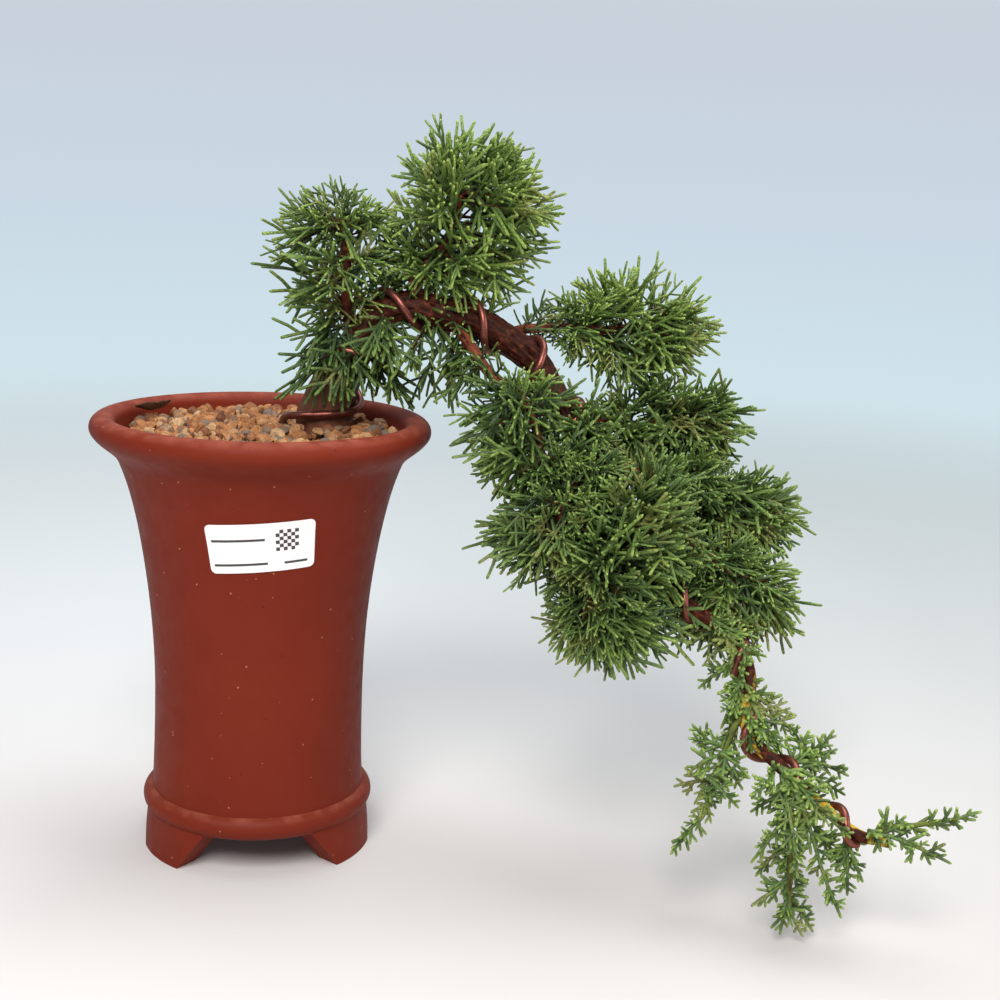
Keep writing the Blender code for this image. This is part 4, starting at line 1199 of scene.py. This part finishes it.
def room_ahead(base, heading, middle, size, limit):
    """Distance from a place, along a heading, to the outside of a pad limit times its size."""
    here = Vector([(b - m) / s for b, m, s in zip(base, middle, size)])
    step = Vector([h / s for h, s in zip(heading, size)])
    a, b, c = step.dot(step), here.dot(step), here.dot(here) - limit ** 2
    return (-b + math.sqrt(max(0.0, b * b - a * c))) / a


def set_sprig(shoots, kinds, base, heading, face, scale, young):
    """Copy one of some kinds of sprig to a base, pointing to a heading, its flat side to face."""
    turn = heading.to_track_quat("X", "Z").to_matrix()
    flat = turn.transposed() @ face
    roll = Matrix.Rotation(-math.atan2(flat.y, flat.z) + pad_draw.gauss(0, 0.35), 3, "X")
    stretch = Matrix.Diagonal((scale, scale, 0.5 + 0.5 * scale))
    place = Matrix.Translation(base) @ (turn @ roll @ stretch).to_4x4()
    copy_into(shoots, pad_draw.choice(kinds), place,
              tint=min(1.0, max(0.0, young + pad_draw.gauss(0, 0.24))))


def add_twig(twigs, start, end, thickness):
    """A thin bent twig between two places."""
    span = end - start
    turn = (span.to_track_quat("X", "Z").to_matrix()
            @ Matrix.Rotation(pad_draw.uniform(0, math.tau), 3, "X"))
    stretch = Matrix.Diagonal((span.length, thickness / 0.09, thickness / 0.09))
    copy_into(twigs, twig_mesh, Matrix.Translation(start) @ (turn @ stretch).to_4x4(),
              tint=pad_draw.random())


def dress_twig(shoots, start, end, count, habit, middle, size, limit):
    """Set long sprigs round the outer part of a twig, as long as the pad has room for."""
    droop, fill, loose, young = habit
    ahead = (end - start).normalized()
    across = ahead.orthogonal().normalized()
    roll = pad_draw.uniform(0, math.tau)
    for number in range(count):
        share = 0.25 + 0.75 * (number + 1) / count
        base = start.lerp(end, share)
        out = Matrix.Rotation(roll + number * 2.4, 3, ahead) @ across
        turn_away = 0.12 if number == count - 1 else loose
        heading = (ahead * 0.8 + out * turn_away + some_turn(0.18)
                   + Vector((0, 0, -droop))).normalized()
        room = room_ahead(base, heading, middle, size, limit)
        length = min(max(room, 11 * MM), 22 * MM) * pad_draw.uniform(0.85, 1.12)
        set_sprig(shoots, long_sprigs, base, heading, ahead.cross(out), length / LONG_SPRIG[0], young)


def grow_pad(shoots, twigs, name, centre, radii, stems):
    """Add the twigs and sprigs that fill one rounded pad to two bmeshes."""
    habit = PAD_HABITS.get(name, PAD_HABITS["usual"])
    droop, fill = habit[:2]
    middle = Vector(centre) * MM + collar
    size = Vector(radii) * MM
    if droop > 0.6:
        anchors = [place for place in stems
                   if room_inside(place, middle, size) < 2.7 and place.z > middle.z + 4 * MM]
    else:
        anchors = [place for place in stems if room_inside(place, middle, size) < 0.85]
        anchors = anchors or sorted(stems, key=lambda place: (place - middle).length)[:4]
    mean = (radii[0] * radii[1] + radii[1] * radii[2] + radii[0] * radii[2]) / 3
    count = max(7, round(4 * math.pi * mean / AREA_PER_TWIG * fill))
    for depth, share_of_count in ((0.60, 1.0), (0.32, 0.45)):
        for direction in spiral_directions(round(count * share_of_count)):
            direction = (direction + some_turn(0.28)).normalized()
            ragged = 1 + 0.22 * noise.noise(direction * 1.9 + middle * 40) + abs(pad_draw.gauss(0, 0.07))
            outside = middle + Vector([d * s for d, s in zip(direction, size)]) * ragged
            choice = pad_draw.sample(anchors, min(4, len(anchors)))
            start = min(choice, key=lambda place: (place - outside).length)
            end = start.lerp(outside, depth)
            if (end - start).length < 4 * MM:
                continue
            add_twig(twigs, start, end, 1.0 * MM)
            dress_twig(shoots, start, end, 4, habit, middle, size, 1.05 * ragged)


# %% [markdown]
# The branches are not bare between the trunk and their pads. Single sprigs come straight off
# them, and off the top of the arch, and hide most of the bark. They are set along the routes
# that the bark was grown on, turning round the branch as they go.

# %% Sprigs straight off the branches
# For each pad: the stems that carry them, the stretch of each as shares, their number, and how
# far they lean down
STRAY_SPRIGS = {
    "foliage_left": (("branch_left", 0.05, 1.0, 30, 0.0),),
    "foliage_left_skirt": (("trunk", 0.14, 0.20, 6, 0.5),),
    "foliage_under_arch": (("trunk", 0.19, 0.30, 18, 0.5),),
    "foliage_apex": (("branch_apex", 0.05, 0.8, 26, 0.1), ("trunk", 0.22, 0.33, 14, 0.1)),
    "foliage_right": (("branch_right", 0.12, 0.95, 44, 0.0),),
    "foliage_upper_left": (("branch_lower_left", 0.25, 1.0, 30, 0.1), ("trunk", 0.42, 0.52, 12, 0.0)),
    "foliage_upper_right": (("branch_back", 0.1, 1.0, 26, 0.0),),
    "foliage_middle": (("branch_front", 0.05, 1.0, 26, 0.1), ("trunk", 0.54, 0.66, 26, 0.2)),
    "foliage_middle_left": (("branch_front_left", 0.1, 1.0, 20, 0.1),),
    "foliage_outer": (("branch_outer", 0.1, 1.0, 30, 0.1),),
    "foliage_outer_lower": (("branch_outer_lower", 0.1, 1.0, 34, 0.2), ("trunk", 0.66, 0.73, 12, 0.4)),
}


def dress_branch(shoots, path, first, last, count, lean, young):
    """Single sprigs round a stretch of a branch."""
    for number in range(count):
        here = round((first + (last - first) * (number + 0.5) / count) * (len(path) - 2))
        ahead = (path[here + 1] - path[here]).normalized()
        out = Matrix.Rotation(number * 2.4, 3, ahead) @ ahead.orthogonal().normalized()
        heading = (ahead * 0.6 + out + some_turn(0.25) + Vector((0, 0, -lean))).normalized()
        set_sprig(shoots, long_sprigs, path[here], heading, ahead.cross(out),
                  pad_draw.uniform(0.6, 1.05), young)


# %% [markdown]
# The tail is younger growth, and it is built another way. Its sprays are flat, like fern
# fronds: a green spine, with short stout sprigs to its left and right that get smaller towards
# the end. So every frond is a route of its own, and the sprays are the fronds that leave the
# stem close together. Routes listed point by point cost a table of numbers, but they keep the gaps
# between the fronds, and the gaps are what makes the tail look light.

# %% Fronds of the tail
# Each route is in millimetres from the collar
FROND_ROUTES = {
    "spray_hanging_left": (
        ((146, -90, -91), (139, -95, -106), (134, -99, -121), (128, -99, -128), (123, -99, -136)),
        ((140, -93, -98), (134, -92, -97), (128, -93, -95)), ((136, -90, -98), (132, -89, -94)),
        ((136, -99, -100), (131, -101, -101), (126, -102, -105)), ((134, -96, -110),
         (124, -93, -113)),
        ((138, -98, -99), (143, -101, -102), (147, -103, -106)),
        ((141, -94, -103), (145, -91, -109), (149, -90, -115)),
        ((133, -100, -107), (138, -103, -111), (143, -105, -116)), ((132, -98, -111),
         (135, -100, -120))),
    "spray_hanging_centre": (
        ((160, -102, -104), (160, -110, -115), (161, -115, -132), (161, -117, -148),
         (166, -119, -159)),
        ((161, -115, -147), (159, -117, -159)), ((162, -114, -146), (171, -116, -159)),
        ((156, -105, -102), (149, -117, -104), (143, -118, -106)),
        ((158, -110, -109), (153, -109, -113), (148, -108, -117)),
        ((157, -116, -117), (151, -120, -122), (145, -122, -129)),
        ((160, -114, -129), (155, -112, -133), (151, -112, -139)),
        ((160, -116, -140), (153, -118, -144), (147, -119, -147)),
        ((158, -105, -102), (163, -119, -113), (171, -122, -135), (178, -123, -150)),
        ((163, -114, -112), (171, -114, -123), (181, -113, -135)),
        ((160, -107, -103), (168, -121, -111), (178, -124, -120)),
        ((160, -113, -132), (164, -110, -139), (168, -109, -149)),
        ((161, -111, -109), (167, -109, -112), (175, -109, -117)),
        ((158, -108, -104), (158, -123, -119), (160, -126, -133))),
    "spray_upper": (
        ((164, -101, -101), (168, -99, -98), (164, -97, -90)),
        ((167, -100, -102), (175, -97, -99), (180, -96, -92)),
        ((165, -103, -101), (173, -104, -101), (183, -106, -105)),
        ((165, -104, -103), (172, -108, -106), (180, -110, -110)),
        ((167, -99, -102), (175, -95, -101), (182, -93, -102))),
    "spray_tip": (
        ((187, -124, -121), (193, -122, -118), (201, -127, -115), (212, -132, -111),
         (220, -132, -108)),
        ((185, -124, -118), (194, -130, -119), (202, -132, -122), (211, -133, -126))),
    "spray_underside": (
        ((180, -117, -122), (181, -118, -133), (182, -118, -144)),
        ((180, -118, -124), (183, -120, -132), (186, -121, -138)), ((180, -117, -124),
         (179, -114, -137))),
    "spray_tail_knot": (
        ((140, -64, -58), (146, -72, -61), (156, -76, -63)), ((142, -65, -60), (149, -76, -66),
         (157, -80, -69)),
        ((148, -68, -63), (147, -77, -69), (142, -82, -76)), ((149, -71, -69), (149, -82, -77),
         (143, -86, -84)),
        ((151, -76, -76), (145, -86, -84), (141, -89, -92)), ((151, -78, -80), (158, -87, -85),
         (167, -90, -88)),
        ((151, -82, -85), (159, -91, -89), (167, -93, -93)), ((151, -80, -82), (154, -93, -89),
         (161, -97, -100)),
        ((151, -82, -84), (149, -94, -91), (150, -97, -99)), ((150, -80, -80), (146, -86, -88),
         (145, -84, -97)),
        ((151, -84, -86), (155, -96, -94), (156, -99, -101)), ((151, -76, -78), (157, -70, -84),
         (162, -66, -91)),
        ((150, -74, -75), (144, -67, -80), (139, -65, -86))),
}
SPRIG_SPACING = 2.2 * MM


def grow_frond(shoots, route, young):
    """A green spine along a route, stout sprigs left and right of it and one at its end."""
    places = [Vector(row[:3]) + collar
              for row in smooth_route([place + (0.0,) for place in route], 2.0 * MM)]
    places = places[:max(3, len(places) - 2)]
    count_rows = len(places)
    before = len(shoots.verts)
    grow_tube(shoots, places, [(0.85 - 0.25 * row / count_rows) * MM for row in range(count_rows)], 6)
    shoots.verts.ensure_lookup_table()
    tip_layer, tint_layer = shoots.verts.layers.float["tip"], shoots.verts.layers.float["tint"]
    for vert in shoots.verts[before:]:
        vert[tip_layer], vert[tint_layer] = 0.55, young
    length = sum((b - a).length for a, b in zip(places, places[1:]))
    count = max(2, round(length / SPRIG_SPACING))
    for number in range(count):
        share = (number + 0.4) / count
        here = min(round(share * (count_rows - 1)), count_rows - 2)
        ahead = (places[here + 1] - places[here]).normalized()
        flat = (ahead.cross(Vector((0, -1, 0)) + some_turn(0.35))).normalized()
        out = flat * (1 if number % 2 else -1)
        heading = (ahead * 0.75 + out * 0.8 + some_turn(0.2)).normalized()
        set_sprig(shoots, stout_sprigs, places[here], heading, ahead.cross(flat),
                  (1.0 - 0.35 * share) * pad_draw.uniform(0.65, 1.1), young)
    ahead = (places[-1] - places[-2]).normalized()
    set_sprig(shoots, stout_sprigs, places[-1] - ahead * MM, ahead, Vector((0, -1, 0)), 0.7, young + 0.1)


# %% Foliage finish
foliage, tree, shader, place = new_finish("foliage", 0.43)
shader.inputs["Specular IOR Level"].default_value = 0.28
tip = add_node(tree, "Attribute", attribute_name="tip").outputs["Fac"]
tint = add_node(tree, "Attribute", attribute_name="tint").outputs["Fac"]
old = ramp(tree, tip, (0.0, (0.010, 0.021, 0.005)), (0.4, (0.036, 0.066, 0.017)),
           (0.88, (0.080, 0.135, 0.032)), (1.0, (0.14, 0.23, 0.050)))
fresh = ramp(tree, tip, (0.0, (0.080, 0.125, 0.028)), (0.5, (0.15, 0.235, 0.048)),
             (0.85, (0.24, 0.36, 0.068)), (1.0, (0.37, 0.49, 0.11)))
green = blend_colours(tree, shape_value(tree, tint, 0.12, 0.95), old, fresh)
patches = grain_of(tree, place, 55, 3, 0.5)
green = blend_colours(tree, shape_value(tree, patches, 0.55, 0.68, 0.0, 0.65), green,
                      (0.30, 0.28, 0.085))
scales = add_node(tree, "TexVoronoi", Scale=1100.0)
link(tree, place, scales.inputs["Vector"])
# The borders between the scales are painted darker: painted shade in the creases between them.
green = blend_colours(tree, shape_value(tree, scales.outputs["Distance"], 0.35, 0.7, 0.0, 0.5), green,
                      (0.025, 0.05, 0.02))
link(tree, green, shader.inputs["Base Color"])
raise_surface(tree, shader, scales.outputs["Distance"], -0.35 * MM, 0.6)

# %% Grow every pad and spray
stem_places = trunk_places[20:] + [place for path in branch_paths.values() for place in path]
shoot_triangles = 0
for name, (centre, radii) in FOLIAGE_PADS.items():
    if name in FROND_ROUTES:
        shoots, twigs = new_growth(), None
        for route in FROND_ROUTES[name]:
            grow_frond(shoots, route, 0.66)
    else:
        shoots, twigs = new_growth(), new_growth()
        grow_pad(shoots, twigs, name, centre, radii, stem_places)
        for more_centre, more_radii in INFILL_PADS.get(name, ()):
            grow_pad(shoots, twigs, name, more_centre, more_radii, stem_places)
    for stem, first, last, count, lean in STRAY_SPRIGS.get(name, ()):
        path = trunk_places if stem == "trunk" else branch_paths[stem]
        dress_branch(shoots, path, first, last, count, lean, 0.38)
    shoot_triangles += sum(len(face.verts) - 2 for face in shoots.faces)
    add_piece(name + "_shoots", shoots, foliage, [name], 75)
    if twigs:
        add_piece(name + "_twigs", twigs, branch_bark, (), 75)
print("shoots:", shoot_triangles, "triangles")

# %% [markdown]
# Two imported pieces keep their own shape, because they are right as they are: the square of
# plastic mesh over the drain hole and the steel clip that holds it. Only their finish is made
# here. They are seen from below, through the hole, so a scuffed black plastic and a dulled
# steel are enough.

# %% Drain mesh and clip
plastic, tree, shader, place = new_finish("mesh_plastic", 0.5)
scuffs = grain_of(tree, place, 300, 4, 0.6)
link(tree, ramp(tree, scuffs, (0.35, (0.012, 0.012, 0.013)), (0.7, (0.05, 0.048, 0.045))),
     shader.inputs["Base Color"])
link(tree, shape_value(tree, scuffs, 0.3, 0.7, 0.4, 0.65), shader.inputs["Roughness"])
steel, tree, shader, place = new_finish("clip_steel", 0.4, 1.0)
dull = grain_of(tree, place, 500, 4, 0.6)
link(tree, ramp(tree, dull, (0.3, (0.30, 0.28, 0.26)), (0.7, (0.55, 0.54, 0.52))),
     shader.inputs["Base Color"])
raise_surface(tree, shader, dull, 0.05 * MM, 0.3)
for node, finish in (("drain_mesh", plastic), ("drain_mesh_clip", steel)):
    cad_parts[node].data.materials.clear()
    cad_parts[node].data.materials.append(finish)

# %% [markdown]
# Last, the size is measured. The fine model stands a little proud of the imported one, by no
# more than the tips of a few shoots. Both boxes are printed side by side.

# %% Size and finish
look_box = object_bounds()
for label, box in (("packed", cad_box), ("looks", look_box)):
    print(label, [round(x * 1000, 1) for corner in box for x in corner])
